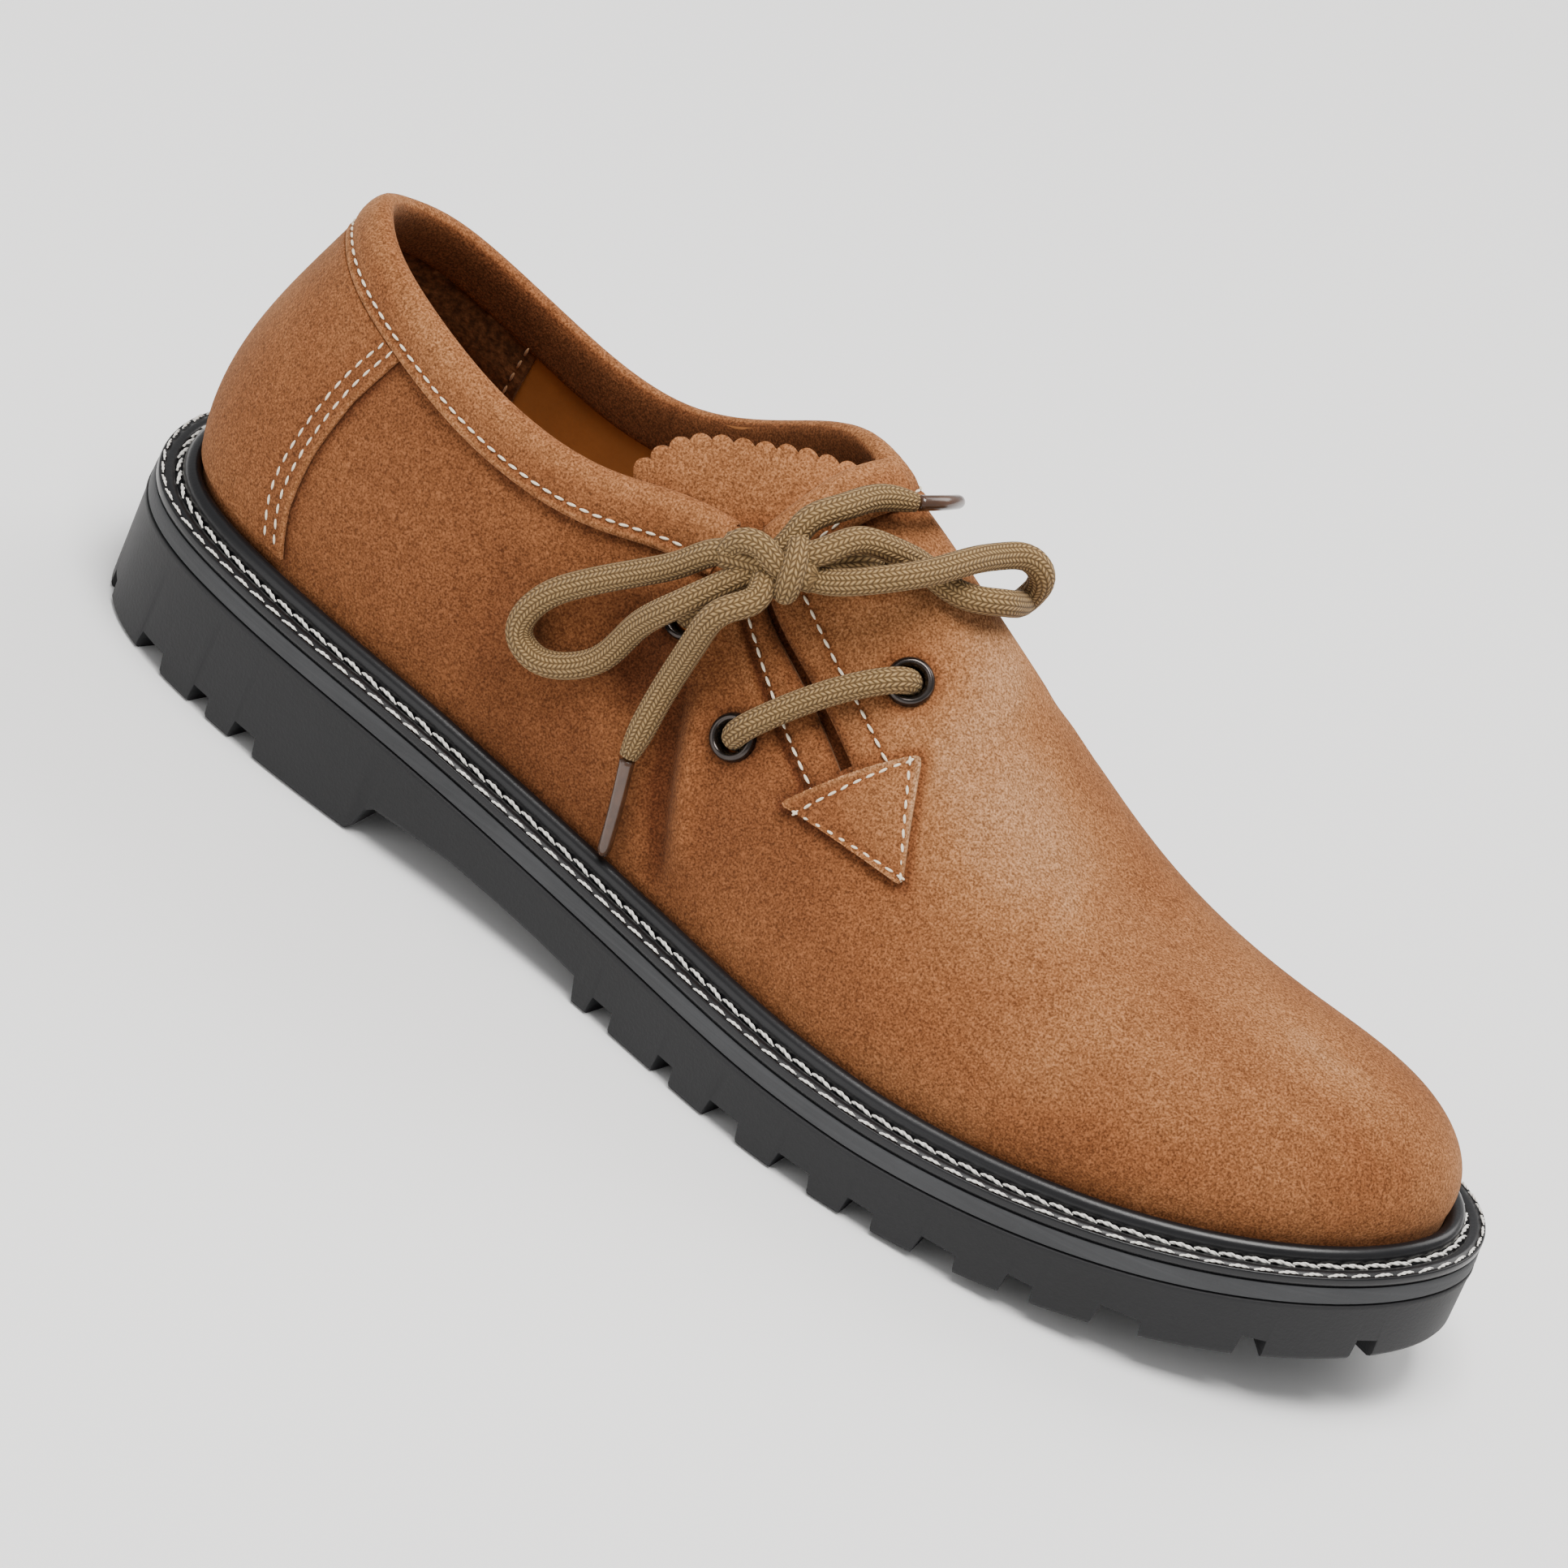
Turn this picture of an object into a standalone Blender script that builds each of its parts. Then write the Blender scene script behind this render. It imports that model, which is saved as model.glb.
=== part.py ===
# A low haferl shoe for the right foot, laced on its outer side, standing empty on its sole.
# Metres, +X towards the toe, -Y the outer (lateral) side, +Z up, floor at z = 0.
import bpy
import bmesh
import math
import numpy as np
from mathutils import Vector, geometry

# Sole
SOLE_LENGTH = 0.302
SOLE_BREADTH = 0.100
TOE_SPRING = 0.015
SPRING_START = 0.66        # share of the length where the toe begins to lift
LUG_DEPTH = 0.0045
SOLE_EDGE_ROUND = 0.0012
BAND_HEIGHT = 0.0036
BAND_INSET = 0.0002
LAYER_GAP = 0.0003
WELT_STRIP = 0.0022
WELT_INSET = 0.0006
BEAD_OUTER_INSET = 0.0048
BEAD_INNER_INSET = 0.0080
BEAD_RISE = 0.0032
BEAD_ROUND = 0.0012         # rounding of the bead's top edges
STRIP_INSIDE = 0.0015       # how far the welt's strip reaches inside the upper's wall

# Upper
WALL = 0.0022
FEATHER_GAP = 0.0005
INSTEP_HEIGHT = 0.105      # floor to the top of the last above the instep
OVERLAY_GAP = 0.0005
OVERLAY_THICK = 0.0011
COLLAR_WIDTH = 0.0095
TONGUE_THICK = 0.0016
TONGUE_GAP = 0.0007
SEAM_GAP = 0.0007           # between the counter and the collar band
INSOLE_THICK = 0.0035

# Lacing
EYELET_OUTER = 0.0094
EYELET_BORE = 0.0056
EYELET_HEIGHT = 0.0013
LACE_DIAMETER = 0.0052
EYELET_SEAT = 0.0007        # underside of an eyelet's rim above the last
EYELET_BARREL = 0.0064
EYELET_CLEARANCE = 0.0007
AGLET_DIAMETER = 0.0030

# Outline of the sole: share of the length, then shares of the breadth to each side
OUTLINE = (
    # along, outer side, inner side
    (0.035, -0.192, 0.322),
    (0.120, -0.314, 0.425),
    (0.250, -0.370, 0.388),
    (0.380, -0.390, 0.330),
    (0.500, -0.441, 0.348),
    (0.600, -0.492, 0.450),
    (0.720, -0.484, 0.472),
    (0.840, -0.409, 0.420),
    (0.940, -0.249, 0.338),
    (0.985, -0.094, 0.208),
)
HEEL_TIP = 0.071
TOE_TIP = 0.058

# Height of the sole's wall above the floor, before the toe spring is added
WALL_TOP = (
    # share of the length, height in metres
    (0.00, 0.0232),
    (0.14, 0.0226),
    (0.27, 0.0208),
    (0.38, 0.0172),
    (0.50, 0.0146),
    (0.62, 0.0136),
    (1.00, 0.0132),
)
# Rise of the tread above the floor under the arch, from heel breast to the first lug
ARCH = (
    # share of the length, rise in metres
    (0.268, 0.0000),
    (0.276, 0.0072),
    (0.340, 0.0078),
    (0.420, 0.0058),
    (0.452, 0.0048),
    (0.456, 0.0000),
)

# Grooves across the edge of the tread, on both sides
GROOVES = (
    # share of the way from heel to toe along the edge, width
    (0.070, 0.0050),
    (0.133, 0.0090),
    (0.178, 0.0055),
    (0.214, 0.0070),
    (0.478, 0.0065),
    (0.528, 0.0050),
    (0.573, 0.0090),
    (0.622, 0.0090),
    (0.665, 0.0070),
    (0.712, 0.0090),
    (0.759, 0.0065),
    (0.814, 0.0100),
    (0.884, 0.0060),
    (0.946, 0.0055),
)
GROOVE_REACH = 0.019       # length of an edge groove inwards
GROOVE_OVERRUN = 0.004     # how far a groove's cutter stands out of the sole
GROOVE_FLARE = 0.60        # half the groove's width at its mouth, as a share of its width
CHANNEL = 0.0020           # rubber left between the edge grooves and the middle grooves
MIDDLE_PITCH = 0.0150      # pitch of the grooves across the middle of the tread
MIDDLE_WIDTH = 0.0050
MIDDLE_RISE = 0.0005       # how much shallower the middle grooves are
MIDDLE_RUNS = (
    # share of the length where a run of middle grooves begins and ends
    (0.09, 0.25),
    (0.49, 0.93),
)

# The last: ridge (top line of the foot) along the length
RIDGE = (
    # share of the length, height as a share of the instep height, offset as a share of the breadth
    (0.00, 1.30, 0.070),
    (0.28, 1.20, 0.070),
    (0.38, 1.10, 0.068),
    (0.45, 1.02, 0.060),
    (0.52, 0.93, 0.052),
    (0.60, 0.77, 0.048),
    (0.68, 0.605, 0.050),
    (0.76, 0.540, 0.060),
    (0.84, 0.535, 0.065),
    (0.92, 0.510, 0.065),
    (1.00, 0.470, 0.065),
)
RIDGE_BACK = 0.047         # from the heel tip to the back end of the ridge
RIDGE_FRONT = 0.030        # from the toe tip to the front end of the ridge

# Cross sections of the last, by share of the way from heel tip to toe tip
SECTIONS = (
    # along, fullness outer, fullness inner, bulge outer, bulge inner, draw outer, draw inner
    (0.00, 3.6, 3.6, 0.0050, 0.0050, 0.0138, 0.0138),
    (0.10, 3.3, 3.3, 0.0030, 0.0035, 0.0110, 0.0110),
    (0.25, 2.7, 2.8, 0.0020, 0.0020, 0.0050, 0.0040),
    (0.42, 2.2, 2.3, 0.0015, 0.0010, 0.0050, 0.0020),
    (0.55, 2.1, 2.2, 0.0015, 0.0010, 0.0040, 0.0010),
    (0.70, 2.2, 2.3, 0.0015, 0.0010, 0.0010, 0.0005),
    (0.85, 2.35, 2.4, 0.0010, 0.0010, 0.0000, 0.0000),
    (1.00, 2.5, 2.5, 0.0005, 0.0005, 0.0000, 0.0000),
)
BEAD_SHARE = 0.05          # share of a section that stands straight behind the bead


# Lines on the last, as (s, v): s from heel to toe, v from the outer feather to the inner one
COLLAR_OUTER = (
    # s, v
    (0.000, 0.400),
    (0.060, 0.419),
    (0.120, 0.416),
    (0.200, 0.410),
    (0.270, 0.420),
    (0.320, 0.457),
    (0.360, 0.520),
    (0.388, 0.556),
)
COLLAR_INNER = (
    # s, distance from the inner feather in the same units as v
    (0.000, 0.400),
    (0.050, 0.380),
    (0.100, 0.365),
    (0.160, 0.345),
    (0.220, 0.338),
    (0.270, 0.355),
    (0.310, 0.400),
    (0.345, 0.490),
    (0.375, 0.640),
    (0.394, 0.820),
    (0.403, 1.000),
)
THROAT_EDGE = (
    # s, v, from the ridge down to the top of the slit
    (0.403, 1.000),
    (0.405, 0.850),
    (0.405, 0.720),
    (0.402, 0.590),
)
SLIT = (
    # s, v along the slit's middle, and half its width
    (0.396, 0.572, 0.0007),
    (0.432, 0.505, 0.0007),
    (0.475, 0.478, 0.0009),
    (0.524, 0.452, 0.0013),
)
COUNTER_EDGE = (
    # s, v
    (0.180, 0.060),
    (0.173, 0.120),
    (0.170, 0.200),
    (0.171, 0.280),
    (0.178, 0.360),
)
PATCH = (
    # s, v at the corners of the three-cornered patch
    (0.506, 0.323),
    (0.596, 0.418),
    (0.557, 0.612),
)
TONGUE_TOP = (
    # s, v along the pinked edge
    (0.326, 0.480),
    (0.330, 0.540),
    (0.337, 0.590),
    (0.351, 0.645),
    (0.366, 0.705),
    (0.381, 0.790),
    (0.396, 0.870),
    (0.408, 0.960),
)
TONGUE_SIDES = (
    # s, v round the hidden edge, from the inner end back to the outer end
    (0.440, 0.980),
    (0.500, 0.800),
    (0.562, 0.640),
    (0.572, 0.480),
    (0.560, 0.330),
    (0.480, 0.345),
    (0.400, 0.385),
    (0.350, 0.420),
)
PINK_PITCH = 0.0042
PINK_DEPTH = 0.0014
EYELETS = (
    # name, s, v
    ("rear_lower", 0.461, 0.330),
    ("front_lower", 0.522, 0.670),
    ("rear_upper", 0.399, 0.400),
    ("front_upper", 0.458, 0.745),
)

LOWER_BAR = (
    # share of the way between its eyelets, height of the lace's middle above their rims
    (0.00, 0.0022),
    (0.14, 0.0040),
    (0.50, 0.0052),
    (0.86, 0.0040),
    (1.00, 0.0022),
)
UPPER_BAR = (
    # share of the way between its eyelets, height of the lace's middle above their rims
    (0.00, 0.0029),
    (0.25, 0.0026),
    (0.50, 0.0023),
    (0.75, 0.0026),
    (1.00, 0.0032),
)
KNOT_OVER = (0.425, 0.583)  # s, v under the knot

# Free ends and loops of the lace, chosen by hand in metres
KNOT = (-0.0166, -0.0266, 0.0944)
KNOT_HALF = (0.0082, 0.0056, 0.0050)   # half its length, height and depth
LOOP_REAR = (
    (-0.0255, -0.0279, 0.0915),
    (-0.0314, -0.0282, 0.0853),
    (-0.0374, -0.0283, 0.0794),
    (-0.0490, -0.0302, 0.0691),
    (-0.0546, -0.0315, 0.0613),
    (-0.0548, -0.0321, 0.0548),
    (-0.0503, -0.0323, 0.0525),
    (-0.0447, -0.0319, 0.0540),
    (-0.0387, -0.0309, 0.0591),
    (-0.0342, -0.0316, 0.0694),
    (-0.0277, -0.0334, 0.0797),
    (-0.0227, -0.0311, 0.0863),
)
LOOP_FRONT = (
    (-0.0074, -0.0230, 0.0952),
    (-0.0013, -0.0213, 0.0983),
    (0.0041, -0.0171, 0.1014),
    (0.0076, -0.0110, 0.1030),
    (0.0101, -0.0027, 0.1041),
    (0.0124, 0.0068, 0.1036),
    (0.0154, 0.0116, 0.1033),
    (0.0180, 0.0144, 0.1000),
    (0.0167, 0.0159, 0.0938),
    (0.0168, 0.0038, 0.0968),
    (0.0112, -0.0022, 0.0970),
    (0.0037, -0.0063, 0.0998),
    (-0.0013, -0.0129, 0.1029),
    (-0.0058, -0.0180, 0.1037),
    (-0.0093, -0.0232, 0.1006),
)
END_REAR = (
    (-0.0145, -0.0316, 0.0893),
    (-0.0175, -0.0350, 0.0861),
    (-0.0207, -0.0348, 0.0777),
    (-0.0227, -0.0329, 0.0688),
    (-0.0240, -0.0329, 0.0593),
    (-0.0241, -0.0350, 0.0478),
)
AGLET_REAR = (
    (-0.0240, -0.0350, 0.0471),
    (-0.0223, -0.0354, 0.0378),
    (-0.0211, -0.0352, 0.0272),
)
END_FRONT = (
    (-0.0157, -0.0225, 0.0999),
    (-0.0153, -0.0209, 0.1026),
    (-0.0123, -0.0158, 0.1060),
    (-0.0094, -0.0077, 0.1075),
    (-0.0044, -0.0016, 0.1076),
)
AGLET_FRONT = (
    (-0.0041, -0.0010, 0.1075),
    (-0.0021, 0.0031, 0.1075),
    (-0.0017, 0.0119, 0.1051),
)


def smooth_line(xs, ys, x):
    """Natural cubic spline through a table's rows."""
    xs = np.asarray(xs, float)
    ys = np.asarray(ys, float)
    n = len(xs)
    h = np.diff(xs)
    a = np.zeros((n, n))
    b = np.zeros(n)
    a[0, 0] = a[-1, -1] = 1.0
    for i in range(1, n - 1):
        a[i, i - 1] = h[i - 1]
        a[i, i] = 2 * (h[i - 1] + h[i])
        a[i, i + 1] = h[i]
        b[i] = 6 * ((ys[i + 1] - ys[i]) / h[i] - (ys[i] - ys[i - 1]) / h[i - 1])
    m = np.linalg.solve(a, b)
    x = np.clip(x, xs[0], xs[-1])
    i = np.clip(np.searchsorted(xs, x) - 1, 0, n - 2)
    t = x - xs[i]
    u = xs[i + 1] - x
    return ((m[i] * u ** 3 + m[i + 1] * t ** 3) / (6 * h[i])
            + (ys[i] / h[i] - m[i] * h[i] / 6) * u
            + (ys[i + 1] / h[i] - m[i + 1] * h[i] / 6) * t)


def closed_curve(points, count):
    """Smooth closed curve through the points, as many even steps round as asked."""
    p = np.asarray(points, float)
    n = len(p)
    q = np.vstack([p[-3:], p, p[:4]])
    d = np.r_[0, np.cumsum(np.linalg.norm(np.diff(q, axis=0), axis=1))]
    t = np.linspace(d[3], d[n + 3], 2400)
    c = np.column_stack([smooth_line(d, q[:, 0], t), smooth_line(d, q[:, 1], t)])
    run = np.r_[0, np.cumsum(np.linalg.norm(np.diff(c, axis=0), axis=1))]
    s = np.linspace(0, run[-1], count + 1)
    return np.column_stack([np.interp(s, run, c[:, 0]), np.interp(s, run, c[:, 1])])


def sole_outline():
    """Each side of the sole from heel tip to toe tip, with its inward normals."""
    rows = [(0.0, HEEL_TIP)] + [(a, o) for a, o, _ in OUTLINE] + [(1.0, TOE_TIP)]
    rows += [(a, i) for a, _, i in reversed(OUTLINE)]
    pts = [((a - 0.5) * SOLE_LENGTH, w * SOLE_BREADTH) for a, w in rows]
    c = closed_curve(pts, 1600)
    low, high = c[:, 1].min(), c[:, 1].max()
    c[:, 1] = (c[:, 1] - (low + high) / 2) * SOLE_BREADTH / (high - low)
    tangent = np.gradient(c, axis=0)
    tangent[0] = tangent[-1] = (c[1] - c[-2])
    tangent /= np.linalg.norm(tangent, axis=1)[:, None]
    inward = np.column_stack([-tangent[:, 1], tangent[:, 0]])
    toe = int(np.argmax(c[:, 0]))
    heel = int(np.argmin(c[:, 0]))
    c = np.vstack([c[heel:-1], c[:heel + 1]])
    inward = np.vstack([inward[heel:-1], inward[:heel + 1]])
    toe = (toe - heel) % 1600
    return {"outer": (c[:toe + 1], inward[:toe + 1]),
            "inner": (c[toe:][::-1], inward[toe:][::-1])}


EDGES = sole_outline()


def edge(side, s, inset):
    """Point of the outline at share s of the way from heel to toe, moved inwards."""
    c, inward = EDGES[side]
    i = np.clip(np.asarray(s, float), 0, 1) * (len(c) - 1)
    k = np.arange(len(c))
    x = np.interp(i, k, c[:, 0]) + inset * np.interp(i, k, inward[:, 0])
    y = np.interp(i, k, c[:, 1]) + inset * np.interp(i, k, inward[:, 1])
    return x, y


def share(x):
    return x / SOLE_LENGTH + 0.5


def spring(x):
    """Lift of the toe above the floor."""
    t = np.clip((share(x) - SPRING_START) / (1 - SPRING_START), 0, None)
    return TOE_SPRING * t ** 1.7


def wall_top(x):
    a = np.array(WALL_TOP)
    return smooth_line(a[:, 0], a[:, 1], share(x)) + spring(x)


def welt_base(x):
    return wall_top(x) + LAYER_GAP + BAND_HEIGHT + LAYER_GAP


def deck(x):
    """Top of the welt's flat strip."""
    return welt_base(x) + WELT_STRIP


FEATHER_INSET = BEAD_INNER_INSET + FEATHER_GAP


def column(table, index, s):
    a = np.array(table)
    return smooth_line(a[:, 0], a[:, index], s)


def last_point(s, v):
    """The upper's outer face. s runs from heel to toe, v from the outer feather (0) over the
    ridge (1) to the inner feather (2)."""
    s, v = np.broadcast_arrays(np.asarray(s, float), np.asarray(v, float))
    outer = v <= 1.0
    h = np.where(outer, v, 2.0 - v)
    fo = edge("outer", s, FEATHER_INSET)
    fi = edge("inner", s, FEATHER_INSET)
    fx = np.where(outer, fo[0], fi[0])
    fy = np.where(outer, fo[1], fi[1])
    heel_x = edge("outer", 0.0, FEATHER_INSET)[0]
    toe_x = edge("outer", 1.0, FEATHER_INSET)[0]
    mean_x = (fo[0] + fi[0]) / 2
    back = heel_x + RIDGE_BACK
    front = toe_x - RIDGE_FRONT
    rx = back + (front - back) * (mean_x - heel_x) / (toe_x - heel_x)
    rz = column(RIDGE, 1, share(rx)) * INSTEP_HEIGHT
    ry = column(RIDGE, 2, share(rx)) * SOLE_BREADTH
    n = np.where(outer, column(SECTIONS, 1, s), column(SECTIONS, 2, s))
    bulge = np.where(outer, column(SECTIONS, 3, s), column(SECTIONS, 4, s))
    draw = np.where(outer, column(SECTIONS, 5, s), column(SECTIONS, 6, s))
    z0 = deck(fx) + FEATHER_GAP
    z1 = z0 + BEAD_RISE
    turn = np.clip((h - BEAD_SHARE) / (1 - BEAD_SHARE), 0, 1) * math.pi / 2
    c = np.clip(np.cos(turn), 0, 1)
    w = np.clip(np.sin(turn), 0, 1)
    reach = (c ** n + w ** n) ** (-1 / n)
    along = 1 - reach * c
    rise = reach * w
    bump = 6.75 * (bulge * rise * (1 - rise) ** 2 - draw * rise ** 2 * (1 - rise))
    ux = fx - rx
    uy = fy - ry
    size = np.hypot(ux, uy)
    x = fx + (rx - fx) * along + ux / size * bump
    y = fy + (ry - fy) * along + uy / size * bump
    low = h < BEAD_SHARE
    z = np.where(low, z0 + BEAD_RISE * h / BEAD_SHARE, z1 + (rz - z1) * rise)
    return np.stack([x, y, z], axis=-1)


def tread(x):
    """Underside of the lugs above the floor."""
    a = np.array(ARCH)
    return spring(x) + np.interp(share(x), a[:, 0], a[:, 1], left=0.0, right=0.0)


SAMPLE = 1e-3


def on_last(s, v, lift):
    """Point lifted off the last along its normal."""
    s = np.asarray(s, float)
    v = np.asarray(v, float)
    p = last_point(s, v)
    n = last_normal(s, v)
    return p + n * lift


def half_normal(s, v):
    s0 = np.clip(s - SAMPLE, 0, 1)
    s1 = np.clip(s + SAMPLE, 0, 1)
    v0 = np.clip(v - SAMPLE, np.where(v > 1, 1.0, 0.0), 2)
    v1 = np.clip(v + SAMPLE, 0, np.where(v > 1, 2.0, 1.0))
    n = np.cross(last_point(s1, v) - last_point(s0, v), last_point(s, v1) - last_point(s, v0))
    return n / np.linalg.norm(n, axis=-1)[..., None]


def last_normal(s, v):
    """Outward normal of the last, evened out across the back, toe and ridge lines."""
    n = half_normal(s, v)
    seam = (s <= SAMPLE) | (s >= 1 - SAMPLE)
    n = np.where(seam[..., None], n + half_normal(s, 2 - v), n)
    ridge = np.abs(v - 1) < SAMPLE
    low = np.clip(v - SAMPLE, 0, 1)
    high = np.clip(v + SAMPLE, 1, 2)
    n = np.where(ridge[..., None], half_normal(s, low) + half_normal(s, high), n)
    return n / np.linalg.norm(n, axis=-1)[..., None]


def resample(path, step):
    """Points along a path at even steps measured on the last."""
    path = np.asarray(path, float)
    fine = np.vstack([np.linspace(a, b, 12, endpoint=False) for a, b in zip(path, path[1:])] + [path[-1:]])
    p = last_point(fine[:, 0], fine[:, 1])
    run = np.r_[0, np.cumsum(np.linalg.norm(np.diff(p, axis=0), axis=1))]
    n = max(1, int(round(run[-1] / step)))
    t = np.linspace(0, run[-1], n + 1)
    return np.column_stack([np.interp(t, run, fine[:, 0]), np.interp(t, run, fine[:, 1])])


def curve_through(rows, count=24):
    """Smooth path through a table's rows of s and v."""
    rows = np.asarray(rows, float)[:, :2]
    d = np.r_[0, np.cumsum(np.hypot(*(np.diff(rows, axis=0) * (1, 0.35)).T))]
    t = np.linspace(0, d[-1], count)
    return np.column_stack([smooth_line(d, rows[:, 0], t), smooth_line(d, rows[:, 1], t)])


def sideways(path, distance):
    """The path moved sideways on the last; a positive distance is to its left, seen from outside."""
    path = np.asarray(path, float)
    s, v = path[:, 0], path[:, 1]
    p = last_point(s, v)
    along = np.gradient(p, axis=0)
    along /= np.linalg.norm(along, axis=1)[:, None]
    left = np.cross(last_normal(s, v), along)
    ps = (last_point(np.clip(s + SAMPLE, 0, 1), v) - last_point(np.clip(s - SAMPLE, 0, 1), v))
    ps /= (np.clip(s + SAMPLE, 0, 1) - np.clip(s - SAMPLE, 0, 1))[:, None]
    pv = (last_point(s, v + SAMPLE) - last_point(s, v - SAMPLE)) / (2 * SAMPLE)
    aa = (ps * ps).sum(1)
    bb = (pv * pv).sum(1)
    ab = (ps * pv).sum(1)
    ca = (left * ps).sum(1)
    cb = (left * pv).sum(1)
    det = aa * bb - ab * ab
    ds = (ca * bb - cb * ab) / det
    dv = (cb * aa - ca * ab) / det
    d = np.broadcast_to(distance, s.shape)
    return np.column_stack([np.clip(s + ds * d, 0, 1), v + dv * d])


def inner_side(path):
    """The same path measured from the inner feather."""
    path = np.asarray(path, float)
    return np.column_stack([path[:, 0], 2 - path[:, 1]])


# Mesh making

ROUND_THE_SIDE = 0.330     # rough length of one unit of s on the last
OVER_THE_FOOT = 0.105      # rough length of one unit of v
SEAM_END = 1e-6
SLIVER = 1e-10             # area of a triangle that has no width


def inside(loop, q):
    """Which of the points q lie inside the closed path."""
    a = loop
    b = np.roll(loop, -1, axis=0)
    hit = np.zeros(len(q), bool)
    for (x0, y0), (x1, y1) in zip(a, b):
        if y0 == y1:
            continue
        cross = (y0 > q[:, 1]) != (y1 > q[:, 1])
        at = x0 + (q[:, 1] - y0) * (x1 - x0) / (y1 - y0)
        hit ^= cross & (q[:, 0] < at)
    return hit


def fill(loop, holes, step):
    """Fill a closed path of s and v with evenly spaced triangles."""
    scale = np.array([ROUND_THE_SIDE, OVER_THE_FOOT])
    rings = [np.asarray(r, float) * scale for r in [loop] + holes]
    border = np.vstack(rings)
    edges = []
    start = 0
    for r in rings:
        n = len(r)
        edges += [(start + k, start + (k + 1) % n) for k in range(n)]
        start += n
    low = border.min(0)
    high = border.max(0)
    rows = []
    y = low[1] + step / 2
    shift = 0.0
    while y < high[1]:
        xs = np.arange(low[0] + shift, high[0], step)
        rows.append(np.column_stack([xs, np.full(len(xs), y)]))
        y += step * math.sqrt(3) / 2
        shift = step / 2 - shift
    grid = np.vstack(rows) if rows else np.zeros((0, 2))
    keep = inside(rings[0], grid)
    for r in rings[1:]:
        keep &= ~inside(r, grid)
    grid = grid[keep]
    if len(grid):
        mids = np.vstack([border] + [(r + np.roll(r, -1, axis=0)) / 2 for r in rings])
        gap = np.sqrt(((grid[:, None] - mids[None]) ** 2).sum(2)).min(1)
        grid = grid[gap > step * 0.55]
    points = [Vector(p) for p in np.vstack([border, grid])]
    verts, _, faces, _, _, _ = geometry.delaunay_2d_cdt(points, edges, [], 0, 1e-9)
    verts = np.array([tuple(p) for p in verts])
    faces = np.array([tuple(f) for f in faces])
    mid = verts[faces].mean(1)
    sides = verts[faces[:, 1:]] - verts[faces[:, :1]]
    area = np.abs(sides[:, 0, 0] * sides[:, 1, 1] - sides[:, 0, 1] * sides[:, 1, 0]) / 2
    keep = inside(rings[0], mid) & (area > SLIVER)
    for r in rings[1:]:
        keep &= ~inside(r, mid)
    return verts / scale, faces[keep]


def material(name, color, roughness, metallic=0.0):
    m = bpy.data.materials.new(name)
    m.use_nodes = True
    shader = m.node_tree.nodes["Principled BSDF"]
    shader.inputs["Base Color"].default_value = (*color, 1.0)
    shader.inputs["Roughness"].default_value = roughness
    shader.inputs["Metallic"].default_value = metallic
    m.diffuse_color = (*color, 1.0)
    return m


def add_object(name, mesh, finish, smooth=True):
    mesh.materials.append(finish)
    if smooth:
        mesh.shade_smooth()
        mesh.set_sharp_from_angle(angle=math.radians(40))
    obj = bpy.data.objects.new(name, mesh)
    bpy.context.scene.collection.objects.link(obj)
    return obj


def mesh_from(name, verts, faces):
    mesh = bpy.data.meshes.new(name)
    mesh.from_pydata([tuple(map(float, p)) for p in verts], [], [tuple(map(int, f)) for f in faces])
    mesh.validate()
    return mesh


def shell(name, loops, holes, step, low, high, finish):
    """Solid between two heights off the last, over the regions inside the loops."""
    known = {}
    points = []
    faces = []
    for loop in loops:
        sv, tris = fill(loop, holes if loop is loops[0] else [], step)
        index = []
        for s, v in sv:
            seam = s < SEAM_END or s > 1 - SEAM_END
            key = (round(s, 4), round(min(v, 2 - v) if seam else v, 4))
            if key not in known:
                known[key] = len(points)
                points.append((s, v))
            index.append(known[key])
        faces += [tuple(index[k] for k in t) for t in tris]
    faces = [f for f in faces if len(set(f)) == 3]
    sv = np.array(points)
    n = len(sv)
    verts = np.vstack([on_last(sv[:, 0], sv[:, 1], high), on_last(sv[:, 0], sv[:, 1], low)])
    runs = {(f[k], f[(k + 1) % 3]) for f in faces for k in range(3)}
    rim = [(b, a, a + n, b + n) for a, b in runs if (b, a) not in runs]
    under = [(c + n, b + n, a + n) for a, b, c in faces]
    return add_object(name, mesh_from(name, verts, faces + under + rim), finish)


def ring_of_edge(stations, inset, height):
    """Closed ring on the sole's edge: heel tip, outer side, toe tip, inner side."""
    ox, oy = edge("outer", stations["outer"], inset)
    ix, iy = edge("inner", stations["inner"][1:-1][::-1], inset)
    x = np.r_[ox, ix]
    y = np.r_[oy, iy]
    return np.column_stack([x, y, height(x)])


def sole_stations(xs):
    """Shares along each side's edge at the given places along the length."""
    out = {}
    for side in EDGES:
        c = EDGES[side][0]
        out[side] = np.interp(xs, c[:, 0], np.linspace(0, 1, len(c)))
        out[side][0] = 0.0
        out[side][-1] = 1.0
    return out


def cap(n, first, up):
    """Faces across a ring of n points that starts at the heel tip."""
    half = n // 2
    faces = []
    for k in range(half):
        a, b = k, k + 1
        d, c = (n - k) % n, (n - k - 1) % n
        face = [a, b, c, d]
        face = [i for j, i in enumerate(face) if i not in face[:j]]
        faces.append([i + first for i in (face if up else face[::-1])])
    return faces


def stacked_rings(rings):
    """Solid with flat ends through a stack of rings, lowest first."""
    n = len(rings[0])
    verts = np.vstack(rings)
    faces = cap(n, 0, False)
    for k in range(len(rings) - 1):
        base = k * n
        faces += [(base + j, base + (j + 1) % n, base + n + (j + 1) % n, base + n + j) for j in range(n)]
    faces += cap(n, (len(rings) - 1) * n, True)
    return verts, faces


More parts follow.
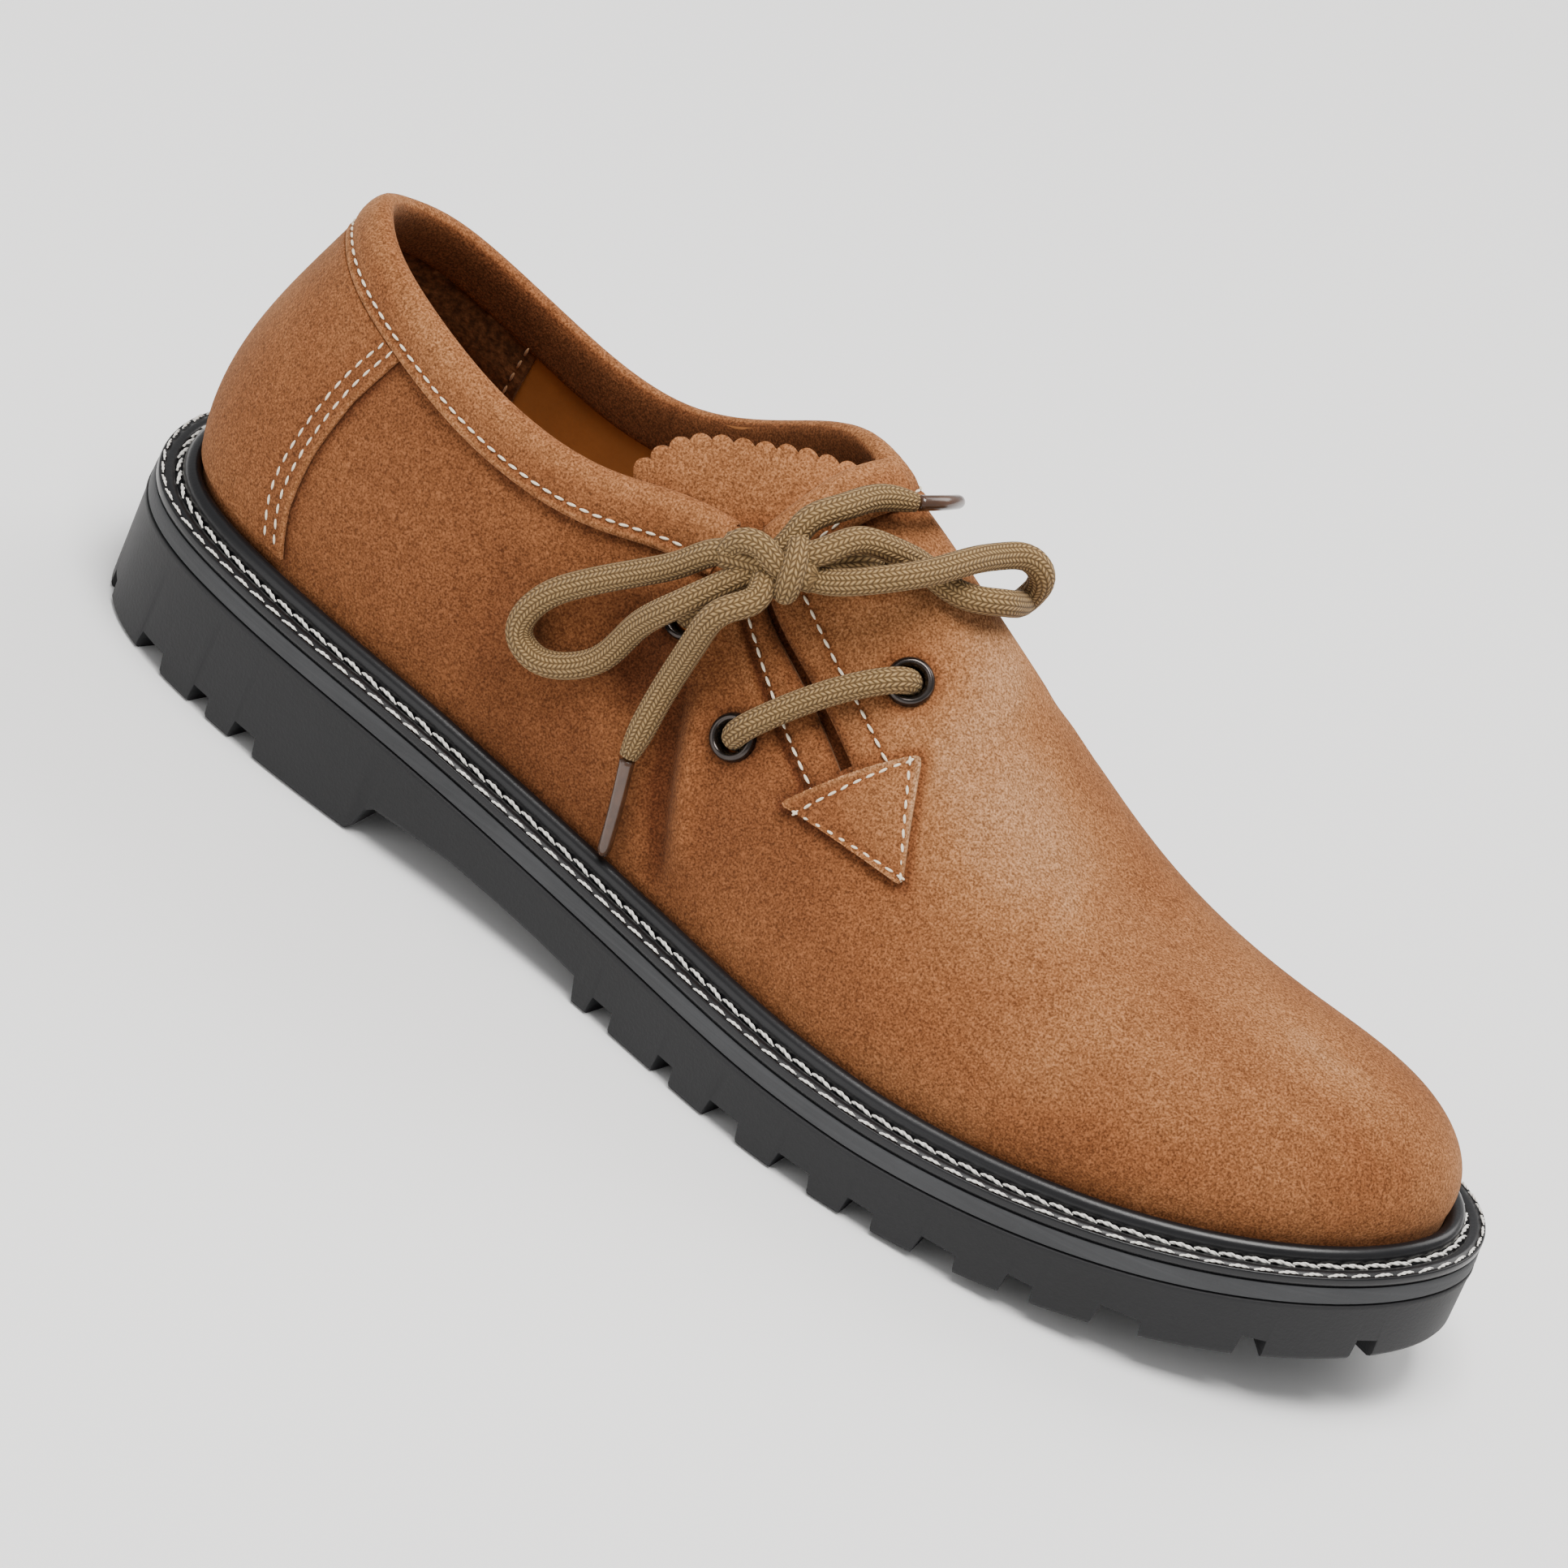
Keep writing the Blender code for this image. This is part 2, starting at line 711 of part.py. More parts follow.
def hoop(rings):
    """Closed band through rings given round its section."""
    n = len(rings[0])
    m = len(rings)
    verts = np.vstack(rings)
    faces = []
    for k in range(m):
        a = k * n
        b = (k + 1) % m * n
        faces += [(a + j, a + (j + 1) % n, b + (j + 1) % n, b + j) for j in range(n)]
    return verts, faces


SOLE_STATIONS = 38


def even_stations(count):
    turn = np.linspace(0, math.pi, count + 1)
    return (-np.cos(turn)) * SOLE_LENGTH / 2


def box_faces(first):
    ids = [(3, 2, 1, 0), (4, 5, 6, 7), (0, 1, 5, 4), (1, 2, 6, 5), (2, 3, 7, 6), (3, 0, 4, 7)]
    return [[i + first for i in f] for f in ids]


def groove_block(p, inward, width, reach, depth_top):
    """Tapered block that cuts one groove, open at the sole's edge and underneath."""
    side = np.array([-inward[1], inward[0]])
    out = p - inward * GROOVE_OVERRUN
    back = p + inward * reach
    verts = []
    for z, half in ((-GROOVE_OVERRUN, width * GROOVE_FLARE), (depth_top, width * (1 - GROOVE_FLARE))):
        for base, s in ((out, 1), (out, -1), (back, -1), (back, 1)):
            q = base - side * half * s
            verts.append((q[0], q[1], z))
    return verts


def cut(obj, cutter_mesh, label):
    cutter = bpy.data.objects.new(label, cutter_mesh)
    bpy.context.scene.collection.objects.link(cutter)
    cutter.hide_render = True
    cutter.display_type = "WIRE"
    mod = obj.modifiers.new(label, "BOOLEAN")
    mod.operation = "DIFFERENCE"
    mod.object = cutter


def outward(mesh):
    bm = bmesh.new()
    bm.from_mesh(mesh)
    bmesh.ops.recalc_face_normals(bm, faces=bm.faces)
    bm.to_mesh(mesh)
    bm.free()
    return mesh


def make_outsole(finish):
    xs = np.unique(np.r_[even_stations(SOLE_STATIONS), [(a - 0.5) * SOLE_LENGTH for a, _ in ARCH]])
    st = sole_stations(xs)
    rings = [ring_of_edge(st, SOLE_EDGE_ROUND, tread),
             ring_of_edge(st, 0.0, lambda x: tread(x) + SOLE_EDGE_ROUND),
             ring_of_edge(st, 0.0, wall_top)]
    verts, faces = stacked_rings(rings)
    obj = add_object("outsole", outward(mesh_from("outsole", verts, faces)), finish)
    verts = []
    faces = []
    for s, width in GROOVES:
        for side in EDGES:
            start = np.array(edge(side, s, 0.0))
            inward = (np.array(edge(side, s, GROOVE_REACH)) - start) / GROOVE_REACH
            faces += box_faces(len(verts))
            verts += groove_block(start, inward, width, GROOVE_REACH, spring(start[0]) + LUG_DEPTH)
    cut(obj, outward(mesh_from("edge_grooves", verts, faces)), "edge_grooves")
    verts = []
    faces = []
    for a in np.concatenate([np.arange(*run, MIDDLE_PITCH / SOLE_LENGTH) for run in MIDDLE_RUNS]):
        x = (a - 0.5) * SOLE_LENGTH
        ends = []
        for side in ("outer", "inner"):
            c = EDGES[side][0]
            s = np.interp(x, c[:, 0], np.linspace(0, 1, len(c)))
            ends.append(edge(side, s, GROOVE_REACH + CHANNEL)[1])
        start = np.array([x, ends[0]])
        top = spring(x) + LUG_DEPTH - MIDDLE_RISE
        faces += box_faces(len(verts))
        verts += groove_block(start, np.array([0.0, 1.0]), MIDDLE_WIDTH, ends[1] - ends[0], top)
    cut(obj, outward(mesh_from("middle_grooves", verts, faces)), "middle_grooves")
    return obj


def make_midsole(finish):
    st = sole_stations(even_stations(SOLE_STATIONS))
    rings = [ring_of_edge(st, BAND_INSET, lambda x: wall_top(x) + LAYER_GAP),
             ring_of_edge(st, BAND_INSET, lambda x: wall_top(x) + LAYER_GAP + BAND_HEIGHT)]
    verts, faces = stacked_rings(rings)
    return add_object("midsole", outward(mesh_from("midsole", verts, faces)), finish)


def make_welt(finish):
    st = sole_stations(even_stations(SOLE_STATIONS))
    inner = FEATHER_INSET + WALL + STRIP_INSIDE
    section = (
        (WELT_INSET, 0.0),
        (WELT_INSET, WELT_STRIP),
        (BEAD_OUTER_INSET, WELT_STRIP),
        (BEAD_OUTER_INSET + BEAD_ROUND * 0.3, WELT_STRIP + BEAD_RISE - BEAD_ROUND * 0.8),
        (BEAD_OUTER_INSET + BEAD_ROUND, WELT_STRIP + BEAD_RISE),
        (BEAD_INNER_INSET - BEAD_ROUND * 0.3, WELT_STRIP + BEAD_RISE),
        (BEAD_INNER_INSET, WELT_STRIP + BEAD_RISE - BEAD_ROUND * 0.5),
        (BEAD_INNER_INSET, WELT_STRIP),
        (inner, WELT_STRIP),
        (inner, 0.0),
    )
    rings = [ring_of_edge(st, inset, lambda x, r=rise: welt_base(x) + r) for inset, rise in section]
    verts, faces = hoop(rings)
    return add_object("welt", outward(mesh_from("welt", verts, faces)), finish)


def make_insole(finish):
    st = sole_stations(even_stations(SOLE_STATIONS))
    inset = FEATHER_INSET + WALL + STRIP_INSIDE + LAYER_GAP
    rings = [ring_of_edge(st, inset, welt_base),
             ring_of_edge(st, inset, lambda x: welt_base(x) + INSOLE_THICK)]
    verts, faces = stacked_rings(rings)
    return add_object("insole", outward(mesh_from("insole", verts, faces)), finish)


def outer_collar():
    return curve_through(COLLAR_OUTER)


def inner_collar():
    """From the heel along the inner side, over the instep and down to the slit."""
    rows = [(s, 2 - v) for s, v in COLLAR_INNER] + [r for r in THROAT_EDGE[1:]]
    return curve_through(rows, 48)


def slit_edges():
    mid = curve_through(SLIT, 12)
    a = np.array(SLIT)
    half = np.interp(mid[:, 0], a[:, 0], a[:, 2])
    return sideways(mid, -half), sideways(mid, half)


def joined(paths, step):
    """One closed loop through paths that meet end to end."""
    parts = [resample(p, step)[:-1] for p in paths]
    return np.vstack(parts)


def up_the_toe(step):
    half = resample([(1.0, 0.0), (1.0, 1.0)], step)
    other = np.column_stack([half[:, 0], 2 - half[:, 1]])[::-1]
    return np.vstack([half, other[1:]])


def eyelet_hole(s, v, radius, count=12):
    p = last_point(s, v)
    ps = (last_point(s + SAMPLE, v) - p) / SAMPLE
    pv = (last_point(s, v + SAMPLE) - p) / SAMPLE
    e1 = ps / np.linalg.norm(ps)
    n = last_normal(np.array(s), np.array(v))
    e2 = np.cross(n, e1)
    frame = np.array([[ps @ e1, pv @ e1], [ps @ e2, pv @ e2]])
    loop = []
    for k in range(count):
        a = 2 * math.pi * k / count
        d = np.linalg.solve(frame, radius * np.array([math.cos(a), math.sin(a)]))
        loop.append((s + d[0], v + d[1]))
    return np.array(loop)


def make_upper(finish):
    step = 0.0076
    rear, front = slit_edges()
    outer = outer_collar()
    inner = inner_collar()
    top = COLLAR_OUTER[0][1]
    heel = resample([(0.0, top), (0.0, 0.0)], step)
    toe = up_the_toe(step)
    loop = np.vstack([
        resample([(0.0, 0.0), (1.0, 0.0)], step)[:-1],
        toe[:-1],
        resample([(1.0, 2.0), (0.0, 2.0)], step)[:-1],
        inner_side(heel)[::-1][:-1],
        resample(inner, step * 0.7)[:-1],
        resample(front, step * 0.7),
        resample(rear[::-1], step * 0.7),
        resample(outer[::-1], step * 0.7)[:-1],
        heel[:-1],
    ])
    holes = [eyelet_hole(s, v, EYELET_BARREL / 2 + EYELET_CLEARANCE) for _, s, v in EYELETS]
    return shell("upper", [loop], holes, step, -WALL, 0.0, finish)


def band_edge(extra):
    """Lower edges of the collar band on both sides, meeting at the back of the heel."""
    outer = sideways(outer_collar(), -(COLLAR_WIDTH + extra))
    inner = sideways(inner_collar(), COLLAR_WIDTH + extra)
    outer[0, 0] = inner[0, 0] = 0.0
    inner[0, 1] = 2 - outer[0, 1]
    return outer, inner


def make_collar_band(finish):
    step = 0.0050
    low_outer, low_inner = band_edge(0.0)
    outer = outer_collar()
    inner = inner_collar()
    first = np.vstack([resample(outer, step), resample(low_outer[::-1], step)])
    second = np.vstack([resample(inner, step), resample(low_inner[::-1], step)])
    return shell("collar_band", [first, second], [], step, OVERLAY_GAP, OVERLAY_GAP + OVERLAY_THICK, finish)


def make_counter(finish):
    step = 0.0052
    rows = np.array(COUNTER_EDGE)
    loops = []
    low = rows[0, 1]
    for k, path in enumerate(band_edge(SEAM_GAP)):
        v = path[:, 1] if k == 0 else 2 - path[:, 1]
        edge_s = np.interp(v, rows[:, 1], rows[:, 0])
        stop = int(np.argmax(path[:, 0] > edge_s))
        corner = (np.interp(v[stop], rows[:, 1], rows[:, 0]), v[stop])
        keep = rows[rows[:, 1] < corner[1] - 0.02]
        top = np.column_stack([path[:stop, 0], v[:stop]])
        heel = resample([(0.0, v[0]), (0.0, low)], step)
        loop = np.vstack([
            heel[:-1],
            resample([(0.0, low), tuple(rows[0])], step)[:-1],
            resample(np.vstack([keep, [corner]]), step)[:-1],
            resample(np.vstack([[corner], top[::-1]]), step)[:-1],
        ])
        loops.append(loop if k == 0 else inner_side(loop)[::-1])
    return shell("counter", loops, [], step, OVERLAY_GAP, OVERLAY_GAP + OVERLAY_THICK, finish)


def make_patch(finish):
    corners = [PATCH[k] for k in (0, 1, 2, 0)]
    loop = joined([corners[k:k + 2] for k in range(3)], 0.004)
    return shell("slit_patch", [loop], [], 0.004, OVERLAY_GAP, OVERLAY_GAP + OVERLAY_THICK, finish)


def make_tongue(finish):
    top = curve_through(TONGUE_TOP, 40)
    teeth = resample(top, PINK_PITCH / 2)
    out = sideways(teeth, PINK_DEPTH)
    teeth[1::2] = out[1::2]
    sides = resample([TONGUE_TOP[-1]] + list(TONGUE_SIDES) + [TONGUE_TOP[0]], 0.006)
    loop = np.vstack([teeth, sides[1:-1]])
    high = -(WALL + TONGUE_GAP)
    return shell("tongue", [loop], [], 0.0060, high - TONGUE_THICK, high, finish)


def turned(profile, segments):
    """Closed ring turned about Z from a closed profile of radius and height."""
    verts = []
    for k in range(segments):
        a = 2 * math.pi * k / segments
        verts += [(r * math.cos(a), r * math.sin(a), z) for r, z in profile]
    m = len(profile)
    faces = []
    for k in range(segments):
        a = k * m
        b = (k + 1) % segments * m
        faces += [(a + j, b + j, b + (j + 1) % m, a + (j + 1) % m) for j in range(m)]
    return verts, faces


def make_eyelet(name, s, v, finish):
    bore = EYELET_BORE / 2
    barrel = EYELET_BARREL / 2
    rim = EYELET_OUTER / 2
    low = -(WALL - LAYER_GAP)
    seat = EYELET_SEAT
    top = seat + EYELET_HEIGHT
    profile = ((bore, low), (barrel, low), (barrel, seat), (rim, seat), (rim, seat + EYELET_HEIGHT * 0.4),
               (rim - 0.0007, top), (bore + 0.0007, top), (bore, top - 0.0006))
    verts, faces = turned(profile, 16)
    mesh = outward(mesh_from(name, verts, faces))
    obj = add_object(name, mesh, finish)
    p = last_point(s, v)
    n = last_normal(np.array(s), np.array(v))
    obj.rotation_mode = "QUATERNION"
    obj.rotation_quaternion = Vector(n).to_track_quat("Z", "Y")
    obj.location = Vector(p)
    return obj


def smooth_route(points, spacing):
    """Even points on a smooth curve through a route's own points."""
    p = np.asarray(points, float)
    d = np.r_[0, np.cumsum(np.linalg.norm(np.diff(p, axis=0), axis=1))]
    t = np.linspace(0, d[-1], 400)
    c = np.column_stack([smooth_line(d, p[:, k], t) for k in range(3)])
    run = np.r_[0, np.cumsum(np.linalg.norm(np.diff(c, axis=0), axis=1))]
    n = max(4, int(round(run[-1] / spacing)))
    s = np.linspace(0, run[-1], n + 1)
    return np.column_stack([np.interp(s, run, c[:, k]) for k in range(3)])


def make_cord(name, points, diameter, finish, spacing=2.2):
    route = smooth_route(points, diameter * spacing)
    curve = bpy.data.curves.new(name, "CURVE")
    curve.dimensions = "3D"
    curve.bevel_depth = diameter / 2
    curve.bevel_resolution = 2
    curve.use_fill_caps = True
    spline = curve.splines.new("POLY")
    spline.points.add(len(route) - 1)
    for point, place in zip(spline.points, route):
        point.co = (*place, 1.0)
    curve.materials.append(finish)
    obj = bpy.data.objects.new(name, curve)
    bpy.context.scene.collection.objects.link(obj)
    return obj


def lace_bar(name, first, second, rows, finish):
    """Stretch of lace from one eyelet to another, arched clear of the upper."""
    (s0, v0), (s1, v1) = first, second
    mouth = EYELET_SEAT + EYELET_HEIGHT + LAYER_GAP
    pts = [on_last(s0 + (s1 - s0) * t, v0 + (v1 - v0) * t, mouth + h) for t, h in rows]
    return make_cord(name, pts, LACE_DIAMETER, finish, 0.6)


def make_knot(finish):
    """Rounded knot lying along the line between the starts of the two loops."""
    mesh = bpy.data.meshes.new("lace_knot")
    bm = bmesh.new()
    bmesh.ops.create_uvsphere(bm, u_segments=14, v_segments=9, radius=1.0)
    bm.to_mesh(mesh)
    bm.free()
    obj = add_object("lace_knot", mesh, finish)
    along = Vector(LOOP_FRONT[0]) - Vector(LOOP_REAR[0])
    along.normalize()
    s, v = KNOT_OVER
    away = Vector(last_normal(np.array(s), np.array(v)))
    across = away.cross(along).normalized()
    away = along.cross(across)
    for vert in mesh.vertices:
        x, y, z = vert.co
        vert.co = along * (x * KNOT_HALF[0]) + across * (y * KNOT_HALF[1]) + away * (z * KNOT_HALF[2])
    obj.location = KNOT
    return obj


def main():
    for obj in list(bpy.data.objects):
        bpy.data.objects.remove(obj, do_unlink=True)
    rubber = material("black_rubber", (0.035, 0.035, 0.038), 0.55)
    band = material("grey_rubber", (0.075, 0.075, 0.078), 0.6)
    bead = material("black_welt", (0.018, 0.018, 0.020), 0.35)
    suede = material("cognac_suede", (0.38, 0.15, 0.055), 0.95)
    lining = material("tan_leather", (0.36, 0.13, 0.03), 0.6)
    metal = material("dark_bronze", (0.045, 0.035, 0.030), 0.3, 0.9)
    braid = material("olive_brown_braid", (0.25, 0.16, 0.065), 0.85)
    plastic = material("brown_plastic", (0.16, 0.075, 0.03), 0.35)

    make_outsole(rubber)
    make_midsole(band)
    make_welt(bead)
    make_insole(lining)
    make_upper(suede)
    make_counter(suede)
    make_collar_band(suede)
    make_patch(suede)
    make_tongue(suede)
    places = {}
    for name, s, v in EYELETS:
        make_eyelet("eyelet_" + name, s, v, metal)
        places[name] = (s, v)
    lace_bar("lace_bar_lower", places["rear_lower"], places["front_lower"], LOWER_BAR, braid)
    lace_bar("lace_bar_upper", places["rear_upper"], places["front_upper"], UPPER_BAR, braid)
    make_knot(braid)
    make_cord("lace_loop_rear", LOOP_REAR, LACE_DIAMETER, braid)
    make_cord("lace_loop_front", LOOP_FRONT, LACE_DIAMETER, braid)
    make_cord("lace_end_rear", END_REAR, LACE_DIAMETER, braid)
    make_cord("lace_end_front", END_FRONT, LACE_DIAMETER, braid)
    make_cord("aglet_rear", AGLET_REAR, AGLET_DIAMETER, plastic)
    make_cord("aglet_front", AGLET_FRONT, AGLET_DIAMETER, plastic)


main()
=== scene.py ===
# Looks of a low haferl shoe for the right foot: suede upper, welt, lugged sole and bow.
import bpy
import bmesh
import math
import numpy as np
from mathutils import Matrix, Vector, geometry, kdtree


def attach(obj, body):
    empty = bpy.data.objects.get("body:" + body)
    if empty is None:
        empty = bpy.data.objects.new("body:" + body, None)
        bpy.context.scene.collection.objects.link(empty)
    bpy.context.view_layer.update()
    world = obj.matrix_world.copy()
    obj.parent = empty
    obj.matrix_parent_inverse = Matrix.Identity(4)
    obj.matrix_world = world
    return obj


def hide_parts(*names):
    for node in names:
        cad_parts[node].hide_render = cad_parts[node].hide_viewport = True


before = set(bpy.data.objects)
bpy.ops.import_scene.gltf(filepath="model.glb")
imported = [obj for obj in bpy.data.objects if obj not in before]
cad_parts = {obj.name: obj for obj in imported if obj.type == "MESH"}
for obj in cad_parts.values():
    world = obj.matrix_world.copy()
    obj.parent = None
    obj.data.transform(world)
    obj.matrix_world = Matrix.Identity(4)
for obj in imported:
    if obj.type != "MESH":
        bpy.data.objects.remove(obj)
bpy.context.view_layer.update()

# Sole
soleLength = 0.302
soleBreadth = 0.100
toeSpring = 0.015
springStart = 0.66        # share of the length where the toe begins to lift
lugDepth = 0.0045
soleEdgeRound = 0.0012
bandHeight = 0.0036
bandInset = 0.0002
layerGap = 0.0003
weltStrip = 0.0022
weltInset = 0.0006
beadOuterInset = 0.0048
beadInnerInset = 0.0080
beadRise = 0.0032
beadRound = 0.0012         # rounding of the bead's top edges
stripInside = 0.0015       # how far the welt's strip reaches inside the upper's wall

# Upper
wall = 0.0022
featherGap = 0.0005
instepHeight = 0.105      # floor to the top of the last above the instep
overlayGap = 0.0005
overlayThick = 0.0011
collarWidth = 0.0095
tongueThick = 0.0016
tongueGap = 0.0007
seamGap = 0.0007           # between the counter and the collar band
insoleThick = 0.0035

# Lacing
eyeletOuter = 0.0094
eyeletBore = 0.0056
eyeletHeight = 0.0013
laceDiameter = 0.0052
eyeletSeat = 0.0007        # underside of an eyelet's rim above the last
eyeletBarrel = 0.0064
eyeletClearance = 0.0007
agletDiameter = 0.0030

# Outline of the sole: share of the length, then shares of the breadth to each side
outline = (
    # along, outer side, inner side
    (0.035, -0.192, 0.322),
    (0.120, -0.314, 0.425),
    (0.250, -0.370, 0.388),
    (0.380, -0.390, 0.330),
    (0.500, -0.441, 0.348),
    (0.600, -0.492, 0.450),
    (0.720, -0.484, 0.472),
    (0.840, -0.409, 0.420),
    (0.940, -0.249, 0.338),
    (0.985, -0.094, 0.208),
)
heelTip = 0.071
toeTip = 0.058

# Height of the sole's wall above the floor, before the toe spring is added
wallHeights = (
    # share of the length, height in metres
    (0.00, 0.0232),
    (0.14, 0.0226),
    (0.27, 0.0208),
    (0.38, 0.0172),
    (0.50, 0.0146),
    (0.62, 0.0136),
    (1.00, 0.0132),
)
# Rise of the tread above the floor under the arch, from heel breast to the first lug
arch = (
    # share of the length, rise in metres
    (0.268, 0.0000),
    (0.276, 0.0072),
    (0.340, 0.0078),
    (0.420, 0.0058),
    (0.452, 0.0048),
    (0.456, 0.0000),
)

# Grooves across the edge of the tread, on both sides
grooves = (
    # share of the way from heel to toe along the edge, width
    (0.070, 0.0050),
    (0.133, 0.0090),
    (0.178, 0.0055),
    (0.214, 0.0070),
    (0.478, 0.0065),
    (0.528, 0.0050),
    (0.573, 0.0090),
    (0.622, 0.0090),
    (0.665, 0.0070),
    (0.712, 0.0090),
    (0.759, 0.0065),
    (0.814, 0.0100),
    (0.884, 0.0060),
    (0.946, 0.0055),
)
grooveReach = 0.019       # length of an edge groove inwards
grooveOverrun = 0.004     # how far a groove's cutter stands out of the sole
grooveFlare = 0.60        # half the groove's width at its mouth, as a share of its width
channel = 0.0020           # rubber left between the edge grooves and the middle grooves
middlePitch = 0.0150      # pitch of the grooves across the middle of the tread
middleWidth = 0.0050
middleRise = 0.0005       # how much shallower the middle grooves are
middleRuns = (
    # share of the length where a run of middle grooves begins and ends
    (0.09, 0.25),
    (0.49, 0.93),
)

# The last: ridge (top line of the foot) along the length
ridge = (
    # share of the length, height as a share of the instep height, offset as a share of the breadth
    (0.00, 1.30, 0.070),
    (0.28, 1.20, 0.070),
    (0.38, 1.10, 0.068),
    (0.45, 1.02, 0.060),
    (0.52, 0.93, 0.052),
    (0.60, 0.77, 0.048),
    (0.68, 0.605, 0.050),
    (0.76, 0.540, 0.060),
    (0.84, 0.535, 0.065),
    (0.92, 0.510, 0.065),
    (1.00, 0.470, 0.065),
)
ridgeBack = 0.047         # from the heel tip to the back end of the ridge
ridgeFront = 0.030        # from the toe tip to the front end of the ridge

# Cross sections of the last, by share of the way from heel tip to toe tip
sections = (
    # along, fullness outer, fullness inner, bulge outer, bulge inner, draw outer, draw inner
    (0.00, 3.6, 3.6, 0.0050, 0.0050, 0.0138, 0.0138),
    (0.10, 3.3, 3.3, 0.0030, 0.0035, 0.0110, 0.0110),
    (0.25, 2.7, 2.8, 0.0020, 0.0020, 0.0050, 0.0040),
    (0.42, 2.2, 2.3, 0.0015, 0.0010, 0.0050, 0.0020),
    (0.55, 2.1, 2.2, 0.0015, 0.0010, 0.0040, 0.0010),
    (0.70, 2.2, 2.3, 0.0015, 0.0010, 0.0010, 0.0005),
    (0.85, 2.35, 2.4, 0.0010, 0.0010, 0.0000, 0.0000),
    (1.00, 2.5, 2.5, 0.0005, 0.0005, 0.0000, 0.0000),
)
beadShare = 0.05          # share of a section that stands straight behind the bead


# Lines on the last, as (s, v): s from heel to toe, v from the outer feather to the inner one
collarOuter = (
    # s, v
    (0.000, 0.400),
    (0.060, 0.419),
    (0.120, 0.416),
    (0.200, 0.410),
    (0.270, 0.420),
    (0.320, 0.457),
    (0.360, 0.520),
    (0.388, 0.556),
)
collarInner = (
    # s, distance from the inner feather in the same units as v
    (0.000, 0.400),
    (0.050, 0.380),
    (0.100, 0.365),
    (0.160, 0.345),
    (0.220, 0.338),
    (0.270, 0.355),
    (0.310, 0.400),
    (0.345, 0.490),
    (0.375, 0.640),
    (0.394, 0.820),
    (0.403, 1.000),
)
throatEdge = (
    # s, v, from the ridge down to the top of the slit
    (0.403, 1.000),
    (0.405, 0.850),
    (0.405, 0.720),
    (0.402, 0.590),
)
slit = (
    # s, v along the slit's middle, and half its width
    (0.396, 0.572, 0.0007),
    (0.432, 0.505, 0.0007),
    (0.475, 0.478, 0.0009),
    (0.524, 0.452, 0.0013),
)
counterEdge = (
    # s, v
    (0.180, 0.060),
    (0.173, 0.120),
    (0.170, 0.200),
    (0.171, 0.280),
    (0.178, 0.360),
)
patch = (
    # s, v at the corners of the three-cornered patch
    (0.506, 0.323),
    (0.596, 0.418),
    (0.557, 0.612),
)
tongueTop = (
    # s, v along the pinked edge
    (0.326, 0.480),
    (0.330, 0.540),
    (0.337, 0.590),
    (0.351, 0.645),
    (0.366, 0.705),
    (0.381, 0.790),
    (0.396, 0.870),
    (0.408, 0.960),
)
tongueSides = (
    # s, v round the hidden edge, from the inner end back to the outer end
    (0.440, 0.980),
    (0.500, 0.800),
    (0.562, 0.640),
    (0.572, 0.480),
    (0.560, 0.330),
    (0.480, 0.345),
    (0.400, 0.385),
    (0.350, 0.420),
)
pinkPitch = 0.0042
pinkDepth = 0.0014
eyelets = (
    # name, s, v
    ("rear_lower", 0.461, 0.330),
    ("front_lower", 0.522, 0.670),
    ("rear_upper", 0.399, 0.400),
    ("front_upper", 0.458, 0.745),
)

lowerBar = (
    # share of the way between its eyelets, height of the lace's middle above their rims
    (0.00, 0.0022),
    (0.14, 0.0040),
    (0.50, 0.0052),
    (0.86, 0.0040),
    (1.00, 0.0022),
)
upperBar = (
    # share of the way between its eyelets, height of the lace's middle above their rims
    (0.00, 0.0029),
    (0.25, 0.0026),
    (0.50, 0.0023),
    (0.75, 0.0026),
    (1.00, 0.0032),
)
knotOver = (0.425, 0.583)  # s, v under the knot

# Free ends and loops of the lace, given in metres
knot = (-0.0166, -0.0266, 0.0944)
knotHalf = (0.0082, 0.0056, 0.0050)   # half its length, height and depth
loopRear = (
    (-0.0255, -0.0279, 0.0915),
    (-0.0314, -0.0282, 0.0853),
    (-0.0374, -0.0283, 0.0794),
    (-0.0490, -0.0302, 0.0691),
    (-0.0546, -0.0315, 0.0613),
    (-0.0548, -0.0321, 0.0548),
    (-0.0503, -0.0323, 0.0525),
    (-0.0447, -0.0319, 0.0540),
    (-0.0387, -0.0309, 0.0591),
    (-0.0342, -0.0316, 0.0694),
    (-0.0277, -0.0334, 0.0797),
    (-0.0227, -0.0311, 0.0863),
)
loopFront = (
    (-0.0074, -0.0230, 0.0952),
    (-0.0013, -0.0213, 0.0983),
    (0.0041, -0.0171, 0.1014),
    (0.0076, -0.0110, 0.1030),
    (0.0101, -0.0027, 0.1041),
    (0.0124, 0.0068, 0.1036),
    (0.0154, 0.0116, 0.1033),
    (0.0180, 0.0144, 0.1000),
    (0.0167, 0.0159, 0.0938),
    (0.0168, 0.0038, 0.0968),
    (0.0112, -0.0022, 0.0970),
    (0.0037, -0.0063, 0.0998),
    (-0.0013, -0.0129, 0.1029),
    (-0.0058, -0.0180, 0.1037),
    (-0.0093, -0.0232, 0.1006),
)
endRear = (
    (-0.0145, -0.0316, 0.0893),
    (-0.0175, -0.0350, 0.0861),
    (-0.0207, -0.0348, 0.0777),
    (-0.0227, -0.0329, 0.0688),
    (-0.0240, -0.0329, 0.0593),
    (-0.0241, -0.0350, 0.0478),
)
agletRear = (
    (-0.0240, -0.0350, 0.0471),
    (-0.0223, -0.0354, 0.0378),
    (-0.0211, -0.0352, 0.0272),
)
